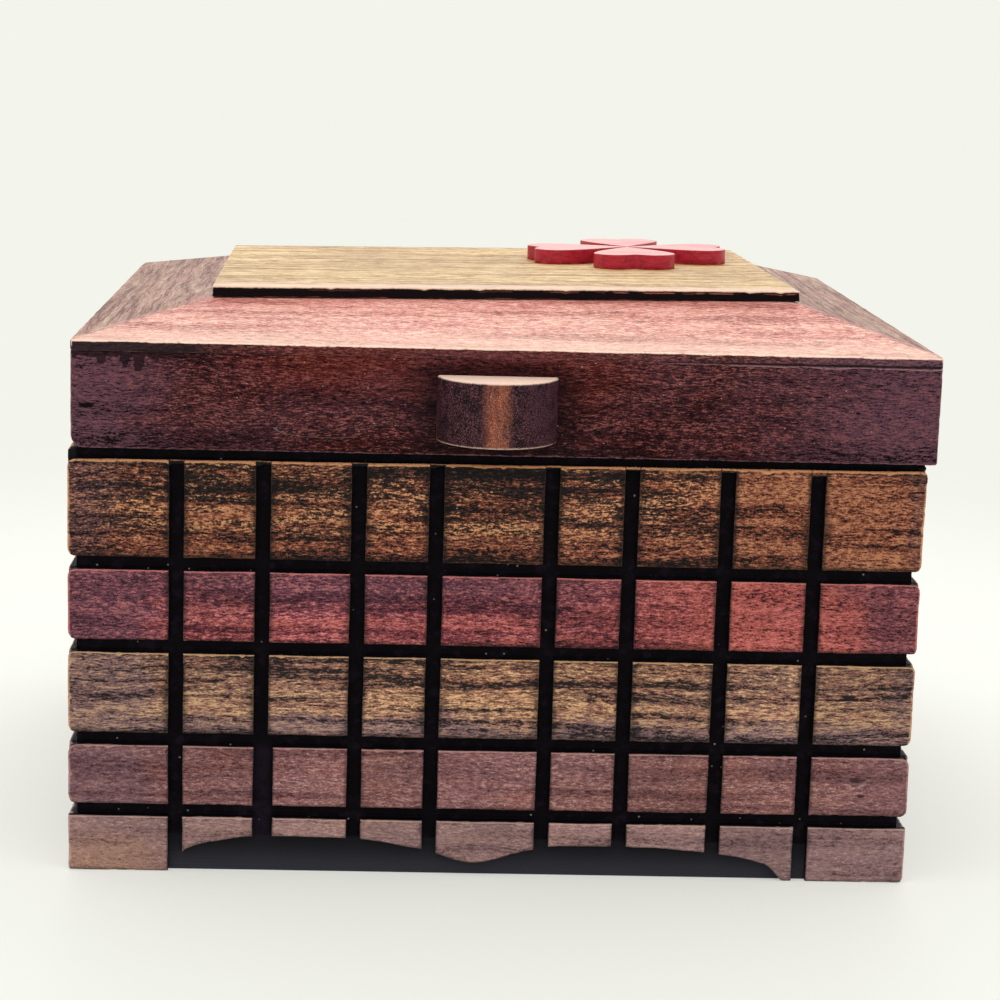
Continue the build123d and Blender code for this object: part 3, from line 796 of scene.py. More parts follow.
# How each row differs: its place in the noise, its figure, and where its colour drifts
ROW_LOOKS = {
    1: dict(shift=(11, 3, 5), wavy=0.6, contrast=1.45, streaks=0.6, patchy=0.1, drift=0.75,
            halo=(2.2, 0.25),
            tint_zones=((0.8, ("X", -82, -97)), (0.6, ("X", 94, 99))),
            blush_zones=((0.9, ("X", 38, 60)), (0.85, ("Z", 85, 80))),
            dim_zones=((0.28, ("Z", 90, 94), ("Z", 100, 97), ("X", 60, 30)),
                       (0.22, ("Z", 86, 81), ("X", 70, 40)),
                       # Painted shadow of the grip on the top of the middle block
                       (0.4, ("X", -17, -12), ("X", 17, 12), ("Z", 86, 92))),
            creep=0.12, dusty=0.12, rubbed=0.8),
    2: dict(shift=(83, 40, 17), streak=(60, 4.0), wavy=0.6, contrast=1.2, streaks=0.35,
            patchy=0.2, drift=0.6, halo=(1.2, 0.35), blush_zones=((0.75, ("X", 20, 60)),),
            tint_zones=((0.9, ("X", -70, -84)), (0.7, ("X", 80, 93)),
                        (0.85, ("Z", 60, 71), ("X", 50, 0))),
            creep=0.12, dusty=0.12, rubbed=0.6),
    3: dict(shift=(-140, 77, 31), fibre=(2.2, 0.45), streak=(42, 2.0), wavy=0.7, contrast=1.25,
            streaks=0.55, patchy=0.25, drift=0.7, halo=(1.6, 0.35),
            tint_zones=((0.75, ("X", -74, -86)), (0.9, ("Z", 42, 36)), (0.6, ("X", 88, 97))),
            dim_zones=((0.16, ("Z", 44, 47)),), knots=((84.5, 45.5, 1.0), (-31, 44.5, 0.7)),
            creep=0.12, dusty=0.14, rubbed=0.55),
    4: dict(shift=(220, -35, 90), wavy=0.7, contrast=0.85, streaks=0.3, patchy=0.3, drift=0.5,
            halo=(0.8, 0.5), tint_zones=((0.7, ("X", -72, -88)), (0.4, ("X", 70, 96))),
            knots=((87.5, 25.5, 0.6), (88.6, 21.5, 0.5)),
            creep=0.1, dusty=0.16, rubbed=0.5),
    5: dict(shift=(-310, 18, -44), wavy=0.8, contrast=0.75, streaks=0.28, patchy=0.4, drift=0.4,
            halo=(0.8, 0.5), blush_zones=((0.7, ("X", -74, -84), ("Z", 13, 8)),),
            tint_zones=((0.5, ("X", 20, 60)),), creep=0.1, dusty=0.16, rubbed=0.5),
}


def block_spans(width, columns, kerf):
    """Left and right end of each block across a side: the two end blocks share what the inner
    ones and the saw cuts leave."""
    widths = np.array([0, *columns, 0])
    widths[[0, -1]] = (width - sum(columns) - (len(columns) + 1) * kerf) / 2
    starts = -width / 2 + np.concatenate([[0], np.cumsum(widths + kerf)[:-1]])
    return list(zip(starts, starts + widths))


def side_place(side, node):
    """A side's frame for slabs, how far its blocks stand out, and its width, from the CAD."""
    across, out = (np.array(direction, float) for direction in SIDES[side])
    low, high = (np.array(corner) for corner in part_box(node))
    reach = sorted((low @ out, high @ out))
    return (out * reach[0], across, (0, 0, 1), out), reach[1] - reach[0], abs((high - low) @ across)


def square_radius(along):
    return np.full(np.shape(along), SQUARE)


def block_edges(shape, seed, square_over=None, outer=None):
    """The four arris functions of a block. Over a height, its upright edges stay square, because
    the wood runs on over the saw cut there, and the row's top edge is rubbed twice as far, as is
    the outer edge of an end block."""
    def edge(k):
        twice = k == outer or (k == 3 and square_over is not None)
        plain = shape.arris * (2 if twice else 1)

        def radius(along):
            worn = worn_radius(along, plain, shape.chip, seed + 31 * k)
            upright = square_over is not None and k < 2
            return np.where(along > square_over, SQUARE, worn) if upright else worn

        return radius

    return [edge(k) for k in range(4)]


def build_row(side, row):
    """One row of blocks on one side of the box, as a single piece."""
    shape = settings().shape
    node = f"{side}_row_{row}"
    place, thickness, width = side_place(side, node)
    low, high = (corner.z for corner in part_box(node))
    long_side = side in ("front", "back")
    spans = block_spans(width, shape.front_columns if long_side else shape.side_columns, shape.kerf)
    if side == "front" and row > 3:
        spans[2] = (spans[2][0] + shape.wide_kerf, spans[2][1])
    seed = 1000 * row + 100 * list(SIDES).index(side)
    draw = np.random.default_rng(seed)
    rounding = shape.corner * draw.uniform(0.6, 1.3, (2, 2))
    drops = {"front": (shape.drop_left, shape.drop_right), "back": (shape.drop_back,) * 2}
    first, last = drops.get(side, (0, 0))

    def face(u, v):
        dips = wander(u + 1.7 * v, seed + 5, 23 * MM) * wander(v - 0.4 * u, seed + 6, 19 * MM)
        return thickness - shape.ripple * (0.5 + 0.5 * dips)

    def bridge_face(u, v):
        """The wood left over a saw cut lies a hair lower than the blocks that it runs into."""
        return face(u, v) - 0.02 * MM

    def top_edge(u):
        share = (u - spans[0][0]) / (spans[-1][1] - spans[0][0])
        return shape.rim - first + (first - last) * share

    def arches(u):
        return arch_height(LONG_ARCH if long_side else SIDE_ARCH, u)

    foot, head = arches if row == 5 else low, top_edge if row == 1 else high
    ends, lap = len(spans) - 1, 0.3 * MM
    shells = Shells()
    for index, (start, end) in enumerate(spans):
        bridge = shape.bridge + shape.bridge_growth * (index / (ends - 1)) ** 4
        square = float(top_edge(end)) - bridge if row == 1 else None
        # The front and back cover the ends of the sides' rows, so only theirs are bare at the end
        open_left = 0 if index == 0 and long_side else 1
        open_right = 0 if index == ends and long_side else 1
        outer = {0: 0, ends: 1}.get(index)
        edges = block_edges(shape, seed + index, square, outer)
        # The top arris is lightened most: partly rubbed wear, partly a painted highlight where the
        # rounded edge catches the light from above
        corners, rubs = [0, 0, 0, 0], [0.1, 0.1, 0.1, 1]
        if outer is not None:
            rubs[outer] = 0.6
            # The bottom row is rounded at the floor only
            corners[outer] = rounding[outer][0] * (0.6 if row == 5 else 1)
            corners[3 - outer] = 0 if row == 5 else rounding[outer][1]
        shells.add_slab(
            place, (start, end), foot, head, face, edges, step=shape.grid, wobble=shape.wobble,
            seed=seed + 13 * index, tone=draw.uniform(), gaps=(open_left, open_right, 1, 1),
            corners=corners, rubs=rubs)
        if row == 1 and index < ends:
            shells.add_slab(
                place, (end - lap, spans[index + 1][0] + lap), square, top_edge, bridge_face,
                [square_radius] * 3 + edges[3:], step=shape.grid, wobble=shape.wobble,
                seed=seed + 13 * index, gaps=(0, 0, 1, 1))
    return shells


class WOODENBOX_OT_carcass(bpy.types.Operator):
    """Finish the black carcass walls and the bottom panel"""
    bl_idname = "wooden_box.carcass"
    bl_label = "Carcass"

    def finish(self, name, turned, nodes):
        """Black paint outside and thin brown stain inside, with its grain along the wall."""
        paints = settings().paints
        material, net, shader, place = start_material(name)
        axes = net.axes(place)
        z = axes["Z"]
        cloud = net.noise(place * 1000, 0.3, 4, 0.7)
        # Painted sheen: the black in the gaps is lightened to purple in cloudy patches, and more in the
        # widest saw cut between the two lowest rows
        worn = zones(net, axes, (0.75, ("X", -62, -60), ("X", -51, -53), ("Z", 33, 29),
                                 ("Y", -86, -86.5)))
        sheen = net.calc("MAXIMUM", net.span(cloud, 0.46, 0.7, 0, 0.6),
                         worn * net.span(cloud, 0.3, 0.6))
        paint = net.mix(sheen, paints.gap, paints.gap_sheen)
        # Painted glints: dust-coloured specks in the gaps that stand for light caught in the saw cuts
        (glints,) = net.group(dust_specks, vector=place, spacing=2.4, size=0.3, share=0.3)
        paint = net.mix(0.3 * glints, paint, paints.dust)
        # Bare black wood from the arches down, with painted shade: darkest under the arches and paler
        # towards the floor
        arch = net.mix(net.span(z, 8 * MM, 0), paints.arch, times(paints.arch, 3.2))
        paint = net.mix(net.span(z, 9.2 * MM, 8.2 * MM), paint, arch)
        # Inside, a thin brown stain lets the wood show
        along = net.turned(place) if turned else place
        inner = stained(net, along, settings().inside, fibre=(5.0, 0.5), streak=(60.0, 5.0),
                        patchy=0.5)[0]
        inside = net.span(z, 0.2 * MM, 0.6 * MM)
        for axis, reach in zip("XY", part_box("bottom_panel")[1]):
            inside = inside * net.span(abs(axes[axis]), reach + 0.6 * MM, reach + 0.1 * MM)
        body = net.mix(inside, paint, inner)
        # Marks of the saw's teeth, 0.9 mm apart
        teeth = 0.5 * net.calc("SINE", z * (2 * math.pi / (0.9 * MM)))
        teeth = teeth + net.noise(place * 1000, 1.6, 3, 0.7)
        roughness = net.span(cloud, 0.3, 0.7, 0.45, 0.65)
        feed(net, shader, body, roughness, teeth, bump=0.3, reach=0.12, gloss=0.04)
        dress(nodes, material)

    def execute(self, context):
        self.finish("black_carcass_stain", False,
                    ["carcass_front", "carcass_back", "bottom_panel"])
        self.finish("black_carcass_stain_side", True, ["carcass_left", "carcass_right"])
        return {"FINISHED"}


class WOODENBOX_OT_blocks(bpy.types.Operator):
    """Build the five rows of stained blocks on the four sides"""
    bl_idname = "wooden_box.blocks"
    bl_label = "Block rows"

    def execute(self, context):
        for row, look in ROW_LOOKS.items():
            stain = getattr(settings(), f"row_{row}")
            along = wood(f"row_{row}_stain", stain, **look)
            turned = wood(f"row_{row}_stain_side", stain, turned=True, **look)
            for side in SIDES:
                material = along if side in ("front", "back") else turned
                finish_piece(f"blocks_{side}_{row}", build_row(side, row), material, "box",
                             ROW_SLOTS[row], f"{side}_row_{row}")
        return {"FINISHED"}


# Lid

# Figure of the lid's rails, which the board's edge shares, with mauve ends and a redder middle
LID_FIGURE = dict(
    shift=(40, 9, 21), fibre=(1.8, 0.34), streak=(70, 3.4), contrast=1.2, streaks=0.25,
    patchy=0.2, drift=0.25, tint_zones=((0.9, ("X", -66, -94)), (0.85, ("X", 40, 98))),
    blush_zones=((0.9, ("X", -74, -40), ("X", 50, 10), ("Z", 110, 120)),),
    dim_zones=((0.2, ("Z", 108, 103)),), knots=((-95.2, 112.3, 0.7),))

# Drips of stain under the seam: their middles, half widths and how far they hang, in millimetres
DRIPS = ((-92.0, 1.7, 3.2), (-86.6, 1.9, 4.0), (-83.4, 1.7, 4.8))

# Which way each heart points, in degrees: the left one was glued on a little askew
HEART_TURNS = {"right": 0, "back": 90, "left": 187, "front": 270}


def plain_radius(size, chip=0.0, seed=0):
    """The same worn arris on all four edges of a slab."""
    return [lambda along, k=k: worn_radius(along, size, chip, seed + 17 * k) for k in range(4)]


def seam_radius(along):
    """The seam under the top board is filled at the left and open at the right."""
    open_share = np.clip((along - 30 * MM) / (40 * MM), 0, 1)
    return (0.05 + 0.55 * open_share) * MM * (1 + 0.5 * wander(along, 7301, 9 * MM))


def drips(net, body, axes, place):
    """Dark stain along the seam, left, with drips that hang from it."""
    runs = net.noise(place * (260, 0, 260), 1, 2, 0.6)
    x = axes["X"] + net.span(runs, 0.3, 0.7, -0.5 * MM, 0.5 * MM)
    depth = net.span(runs, 0.3, 0.7, 0.9 * MM, 2.2 * MM)
    for middle, half, hang in DRIPS:
        drip = net.span(abs(x - middle * MM), half * MM, 0.3 * half * MM, 0, hang * MM)
        depth = net.calc("MAXIMUM", depth, drip)
    above = axes["Z"] - (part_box("lid_front_rail")[1].z - depth)
    where = zones(net, axes, (0.8, ("X", -60, -72), ("Y", -80, -86)))
    return net.mix(net.span(above, -0.1 * MM, 0.3 * MM) * where, body, settings().lid_frame.dark)


class WOODENBOX_OT_lid_frame(bpy.types.Operator):
    """Build the lid's front and side rails, and finish the back one"""
    bl_idname = "wooden_box.lid_frame"
    bl_label = "Lid frame"

    def execute(self, context):
        shape, lid, stain = settings().shape, settings().lid, settings().lid_frame
        look = dict(
            LID_FIGURE, rough=(0.36, 0.54), gloss=0.05, bump=0.55, dusty=0.6, dust_size=0.24,
            scratched=0.4, rubbed=0.8, bare=settings().paints.seam)

        def used(net, body, axes, place):
            """The drips, and painted shadow of the grip on the wood round it."""
            # Painted shadow of the grip on the rail round it
            smudge = zones(net, axes, (0.7, ("X", -26, -15), ("X", 24, 13), ("Z", 99, 105),
                                       ("Z", 126, 121), ("Y", -80, -86)))
            return drips(net, net.mix(smudge, body, stain.dark), axes, place)

        along = wood("lid_frame_stain", stain, extra=used, **look)
        turned = wood("lid_frame_stain_side", stain, turned=True, **look)
        for side in ("front", "left", "right"):
            node = f"lid_{side}_rail"
            place, thickness, width = side_place(side, node)
            low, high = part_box(node)
            seed = 7000 + 100 * list(SIDES).index(side)
            middle = np.dot((low + high) / 2, SIDES[side][0])
            edges, corners = plain_radius(0.45 * MM, chip=0.5 * MM, seed=seed), None
            if side == "front":
                edges[3] = seam_radius
                corners = (lid.worn_corner, 0.7 * MM, 0.3 * MM, 0.3 * MM)

            def face(u, v):
                return thickness - shape.ripple * dip(u + 0.8 * v, seed + 5, 60 * MM)

            shells = Shells()
            shells.add_slab(
                place, (middle - width / 2, middle + width / 2), low.z, high.z, face, edges,
                step=1.2 * MM, wobble=0.1 * MM, seed=seed, corners=corners,
                rubs=(0.25, 0.25, 0.25, 1))
            finish_piece(f"frame_{side}", shells, along if side == "front" else turned, "lid",
                         "lid_maroon", node)
        dress(["lid_back_rail"], along)
        return {"FINISHED"}


def board_height(lid, board):
    """Height of the top board's face over its underside at a point of its outline. Each bevel is
    the ruled surface from the rim's edge up to the flat's edge, and the flat is a tilted plane;
    the face is the least of the five, with the ridges between them melted by a soft minimum."""
    low, high = board
    half = (high.x - low.x) / 2, (high.y - low.y) / 2
    runs = lid.run_side, lid.run_front
    flat = half[0] - runs[0], half[1] - runs[1]
    slope = math.tan(lid.tilt), -math.tan(lid.pitch)

    def height(u, v):
        place = u - lid.shift, v
        surfaces = [lid.edge + lid.rise + slope[0] * place[0] + slope[1] * place[1]]
        for near, beside, side in ((0, 1, -1), (0, 1, 1), (1, 0, -1), (1, 0, 1)):
            share = np.clip((half[near] - side * place[near]) / runs[near], 0, 1.6)
            wide = half[beside] * (1 - share) + flat[beside] * share
            turn = np.clip(place[beside] / np.maximum(wide, 1e-6), -1, 1)
            level = lid.rise + side * slope[near] * flat[near] + slope[beside] * flat[beside] * turn
            surfaces.append(lid.edge + share * level)
        stack = np.stack(surfaces) / lid.soften
        least = stack.min(0)
        return lid.soften * (least - np.log(np.exp(least - stack).sum(0)))

    return height


class WOODENBOX_OT_top_board(bpy.types.Operator):
    """Build the bevelled top board"""
    bl_idname = "wooden_box.top_board"
    bl_label = "Top board"

    def execute(self, context):
        lid, stain, frame_stain = settings().lid, settings().top_board, settings().lid_frame
        low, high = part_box("lid_top_board")
        shells = Shells()
        shells.add_slab(
            ((0, 0, low.z), (1, 0, 0), (0, 1, 0), (0, 0, 1)), (low.x, high.x), low.y, high.y,
            board_height(lid, (low, high)), plain_radius(0.4 * MM, chip=0.12 * MM, seed=8100),
            step=1.25 * MM, wobble=0.18 * MM, seed=8200,
            corners=(1.6 * MM, 1.3 * MM, 2.2 * MM, 2.0 * MM), rubs=(0.5, 0.5, 1, 0.5))

        def shaded(net, body, axes, place):
            """The side bevels are browner and darker than the front and back ones, the darkening being
            painted shade; the front bevel lightens towards its front edge as a painted sheen; and the
            board's square edge and underside keep the stain of the frame."""
            x = ((high.x - low.x) / 2 - abs(axes["X"] - lid.shift)) / lid.run_side
            y = ((high.y - low.y) / 2 - abs(axes["Y"])) / lid.run_front
            past_ridge = y - x
            # Painted sheen: the front bevel lightens towards its front edge
            body = net.mix(net.span(axes["Y"], -76 * MM, -89 * MM, 0, 0.35), body, stain.light)
            side = stained(net, net.turned(place), stain, fibre=(14.0, 0.7), streak=(60, 2.2),
                           contrast=1.1)[0]
            # Painted shade: the side bevels are darkened
            side = net.mix(1, side, (0.5, 0.55, 0.49), "MULTIPLY")
            # The front's stain laps over the ridges in streaks
            lap = net.span(net.noise(place * (50, 500, 50)), 0.4, 0.6, 0.15, 0.7)
            lap = lap * net.span(past_ridge, 0.32, 0.02) * net.span(axes["Y"], 0, -40 * MM)
            side = net.mix(lap, side, body)
            body = net.mix(net.span(past_ridge, -0.01, 0.01), body, side)
            band = drips(net, stained(net, place, frame_stain, **LID_FIGURE)[0], axes, place)
            # The seam under the board has opened into a crack at the right, darkened with painted
            # shadow
            foot = low.z / MM
            crack = zones(net, axes, (0.9, ("X", 30, 62), ("Z", foot + 0.5, foot + 0.3),
                                      ("Y", -80, -86)))
            band = net.mix(crack, band, frame_stain.dark)
            ragged = net.noise(place * (400, 400, 1000), 1, 3)
            height = axes["Z"] + 0.3 * MM * (ragged - 0.5)
            level = low.z + lid.edge
            return net.mix(net.span(height, level - 0.05 * MM, level - 0.3 * MM), body, band)

        material = wood(
            "top_board_stain", stain, shift=(15, -20, 60), fibre=(2.2, 0.55), streak=(60, 4.6),
            wavy=1.5, contrast=1.0, streaks=0.32, patchy=0.15, tint_zones=((0.5, ("Y", 60, 84)),),
            blush_zones=((0.7, ("Y", -74, -58)),), rough=(0.42, 0.58), gloss=0.14, bump=0.5,
            dusty=0.08, rubbed=0.8, extra=shaded)
        finish_piece("top_board", shells, material, "lid", "lid_top_stain", "lid_top_board")
        return {"FINISHED"}


def plaque_frame(lid):
    """The plaque's frame: the middle of the flat, and its directions after the tilt, the pitch
    and the turn."""
    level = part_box("lid_top_board")[0].z + lid.edge + lid.rise
    across = np.array((math.cos(lid.tilt), 0, math.sin(lid.tilt)))
    out = np.array((-math.tan(lid.tilt), math.tan(lid.pitch), 1))
    out /= np.linalg.norm(out)
    up = np.cross(out, across)
    cos, sin = math.cos(lid.turn), math.sin(lid.turn)
    return np.array((lid.shift, 0, level)), cos * across + sin * up, cos * up - sin * across, out


class WOODENBOX_OT_plaque(bpy.types.Operator):
    """Build the flat plaque on the lid"""
    bl_idname = "wooden_box.plaque"
    bl_label = "Plaque"

    def execute(self, context):
        lid, paints = settings().lid, settings().paints
        half_x, half_y = lid.plaque_width / 2, lid.plaque_depth / 2
        seed = 8600

        def face(u, v):
            return lid.plaque_thickness - 0.05 * MM * dip(u + 2 * v, seed, 70 * MM)

        shells = Shells()
        shells.add_slab(
            plaque_frame(lid), (-half_x, half_x), -half_y, half_y, face,
            plain_radius(0.22 * MM, chip=0.3 * MM, seed=seed), step=1.5 * MM, wobble=0.15 * MM,
            seed=seed, rubs=(0.7, 0.7, 1, 0.7))

        def scorched(net, body, axes, place):
            """The sawn edge is scorched dark, the outer plies show in ragged lines near its top
            and its foot, and the face is paler along the front, a painted highlight."""
            ragged = net.noise(place * 1000, 0.9, 3, 0.6)
            level = net.point_value("gap") + 0.4 * MM * (ragged - 0.5)
            patches = net.span(net.noise(place * (110, 110, 300), 1, 3, 0.7), 0.47, 0.6, 0, 0.8)
            edge = paints.edge
            foot = 0.2 * MM - lid.plaque_thickness
            for depth, start, end in ((-0.55 * MM, 0, 30 * MM), (foot, 60 * MM, -20 * MM)):
                line = net.span(abs(level - depth), 0.2 * MM, 0.08 * MM)
                shown = line * net.span(axes["X"], start, end, 0.25, 1) * patches
                edge = net.mix(shown, edge, paints.ply)
            # Painted highlight: the face is paler along the front
            body = net.mix(net.span(axes["Y"], -46 * MM, -56 * MM, 0, 0.55), body, paints.rim)
            return net.mix(net.span(level, 0, -0.25 * MM), body, edge)

        material = wood(
            "plaque_stain", settings().plaque, shift=(5, 60, -20), fibre=(5.5, 0.6),
            streak=(90, 2.6), wavy=1.0, contrast=1.2, streaks=0.45, patchy=0.5,
            rough=(0.45, 0.6), gloss=0.08, bump=0.3, dusty=0.06, rubbed=0.6, extra=scorched)
        finish_piece("plaque", shells, material, "lid", "plaque_tan", "lid_plaque")
        return {"FINISHED"}


def heart_outline(lid):
    """Points round a heart with its tip at the origin: a smooth line through the half curve,
    taken by the distance along its knots, and its mirror image."""
    knots = np.array(HEART_CURVE) * (lid.heart_length, lid.heart_width / 2)
    travelled = np.concatenate([[0], np.cumsum(np.hypot(*np.diff(knots, axis=0).T))])
    places = np.linspace(0, travelled[-1], lid.outline_points // 2 + 1)
    half = np.stack([curve_through(travelled, knots[:, k], places) for k in (0, 1)], -1)
    return np.concatenate([half[::-1], half[1:-1] * (1, -1)])[::-1]


class WOODENBOX_OT_hearts(bpy.types.Operator):
    """Build the four hearts of the clover"""
    bl_idname = "wooden_box.hearts"
    bl_label = "Hearts"

    def paint(self, paints):
        """Crimson paint, paler on top as a painted sheen, with a dark line just under the top edge."""
        material, net, shader, place = start_material("heart_paint")
        fibre, streak, patch, _, height = net.group(
            wood_figure, vector=place, fibre_length=4.0, fibre_width=0.35, streak_length=14.0,
            streak_width=0.9)
        side = net.mix(0.55 * streak, paints.heart_side, times(paints.heart_side, 0.35))
        side = net.mix(net.span(fibre, 0.6, 1, 0, 0.12), side, paints.heart_top)
        top = net.mix(net.span(patch, 0.2, 0.9, 0, 0.3), paints.heart_top, paints.heart_side)
        rubbed = net.point_value("rub")
        # Painted sheen: the tops take the paler colour
        body = net.mix(net.span(rubbed, 0.35, 0.85), side, top)
        line = net.span(abs(rubbed - 0.3), 0.28, 0.1, 0, 0.6)
        body = net.mix(line, body, times(paints.heart_side, 0.2))
        roughness = net.span(fibre, 0, 1, 0.46, 0.34)
        feed(net, shader, body, roughness, height, bump=0.25, reach=0.15, gloss=0.35)
        return material

    def execute(self, context):
        lid = settings().lid
        material = self.paint(settings().paints)
        origin, across, up, out = plaque_frame(lid)
        reach = lid.heart_gap + lid.heart_length
        centre = np.array((lid.plaque_width / 2 - lid.margin_right - reach,
                           lid.plaque_depth / 2 - lid.margin_back - reach))
        thick, foot, round_edge, crown = lid.heart_thickness, 0.15 * MM, 0.25 * MM, 0.12 * MM
        profile = [(0, 0), (0.985, 0), (1, foot)]
        profile += [(1, share * thick) for share in (0.3, 0.6, 0.8)]
        profile += rounded_top(thick - crown, round_edge, round_edge / (lid.heart_width / 2))
        profile += [(share, thick - crown * share**2) for share in (0.85, 0.6, 0.35, 0)]
        inmost = np.array((0.62 * lid.heart_length, 0))
        points, faces = ring_solid(heart_outline(lid), inmost, profile)
        for name, degrees in HEART_TURNS.items():
            cos, sin = math.cos(math.radians(degrees)), math.sin(math.radians(degrees))
            flat = points[:, :2] @ np.array(((cos, sin), (-sin, cos))) + centre
            flat = flat + lid.heart_gap * np.array((cos, sin))
            lifted = points[:, 2:] + lid.plaque_thickness
            shells = Shells()
            # The tops are marked for the painted sheen that stands for the light they catch
            shells.add(origin + flat @ np.stack([across, up]) + lifted * out, faces,
                       rub=(points[:, 2] > 0.94 * thick).astype(float))
            finish_piece(f"clover_{name}", shells, material, "lid", "heart_red", f"heart_{name}",
                         sharp=50)
        return {"FINISHED"}


class WOODENBOX_OT_grip(bpy.types.Operator):
    """Build the half-round grip on the lid's front"""
    bl_idname = "wooden_box.grip"
    bl_label = "Grip"

    def execute(self, context):
        paints, top_stain = settings().paints, settings().top_board
        low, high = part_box("lid_grip")
        half, deep, tall = (high.x - low.x) / 2, high.y - low.y, high.z - low.z
        radius = (half**2 + deep**2) / (2 * deep)
        sweep = math.asin(half / radius) if deep < radius else math.pi - math.asin(half / radius)
        # The outline is an arc and, from its end back to its start, a chord
        angles = np.linspace(-sweep, sweep, settings().lid.outline_points)
        arc = np.stack([radius * np.sin(angles), radius - deep - radius * np.cos(angles)], -1)
        chord = np.linspace((half, 0), (-half, 0), 25)[1:-1]
        round_edge = 0.6 * MM
        top = rounded_top(tall, round_edge, round_edge / deep)
        profile = [(0, 0)] + [(share, tall - level) for share, level in reversed(top)]
        profile += [(1, share * tall) for share in (0.3, 0.5, 0.7)] + top
        profile += [(share, tall) for share in (0.7, 0.4, 0)]
        points, faces = ring_solid(np.concatenate([arc, chord]), np.zeros(2), profile)
        shells = Shells()
        ends = np.minimum(points[:, 2], tall - points[:, 2])
        shells.add(points + (low.x + half, high.y, low.z), faces,
                   rub=np.clip(1 - ends / (0.5 * MM), 0, 1))

        def handled(net, body, axes, place):
            """A painted highlight in copper brown runs down the middle of the nose, with painted
            glints, and the top is made pale as a painted highlight.
            """
            blotch = net.span(net.noise(place * (700, 700, 180), 1, 4, 0.7), 0.35, 0.6, 0.35, 1)
            glint = net.span(net.noise(place * 3600, 1, 2, 0.6), 0.52, 0.66)
            near = abs(axes["X"] - (low.x + half - 0.5 * MM))
            rubbed = net.span(near, 4.2 * MM, 0.6 * MM) * blotch
            # Painted highlight: a copper brown band down the middle of the nose, with painted glints
            body = net.mix(0.75 * rubbed, body, settings().grip.blush)
            body = net.mix(0.75 * (glint * rubbed), body, paints.worn)
            # Painted highlight on the top face
            pale = net.span(axes["Z"], high.z - 0.45 * MM, high.z - 0.05 * MM, 0, 0.8)
            return net.mix(pale, body, top_stain.light)

        material = wood(
            "grip_stain", settings().grip, shift=(9, 30, 12), fibre=(0.35, 0.3), streak=(4, 3),
            # The mauve tint on the nose's right side is a painted reflection
            contrast=1.7, streaks=0.3, patchy=0.3, drift=0.0,
            tint_zones=((0.75, ("X", 0, 8)),), rough=(0.38, 0.54), gloss=0.1, bump=0.6,
            dusty=0.4, dust_size=0.14, rubbed=0.5, bare=top_stain.light, extra=handled)
        finish_piece("grip", shells, material, "lid", "grip_stain", "lid_grip")
        return {"FINISHED"}


class WOODENBOX_OT_hinges(bpy.types.Operator):
    """Finish the brass hinge leaves, their pins and their screws"""
    bl_idname = "wooden_box.hinges"
    bl_label = "Hinges"

    def metal(self, name, bright, roughness, brushed):
        """Metal with brush marks and a tarnish that gathers in cloudy patches."""
        material, net, shader, place = start_material(name)
        dull = settings().paints.tarnish
        marks = net.noise(place * brushed, 1, 3, 0.6)
        tarnish = net.span(net.noise(place * 120, 1, 5, 0.7), 0.42, 0.72, 0, 0.6)
        body = net.mix(net.span(marks, 0.3, 0.7, 0, 0.25), bright, dull)
        body = net.mix(tarnish, body, dull)
        rough = net.span(marks, 0.3, 0.7, roughness - 0.06, roughness + 0.08) + 0.22 * tarnish
        shader.inputs["Metallic"].default_value = 1.0
        feed(net, shader, body, rough, marks, bump=0.12, reach=0.06)
        return material

    def execute(self, context):
        paints = settings().paints
        brass = self.metal("hinge_brass", paints.brass, 0.3, (300, 4000, 4000))
        screw = self.metal("screw_brass", paints.brass, 0.26, 2500)
        steel = self.metal("pin_steel", paints.steel, 0.28, (200, 5000, 5000))
        for side in ("left", "right"):
            dress([f"hinge_box_leaf_{side}", f"hinge_lid_leaf_{side}"], brass)
            dress([f"hinge_box_screws_{side}", f"hinge_lid_screws_{side}"], screw)
            dress([f"hinge_pin_{side}"], steel)
        return {"FINISHED"}


# Stage

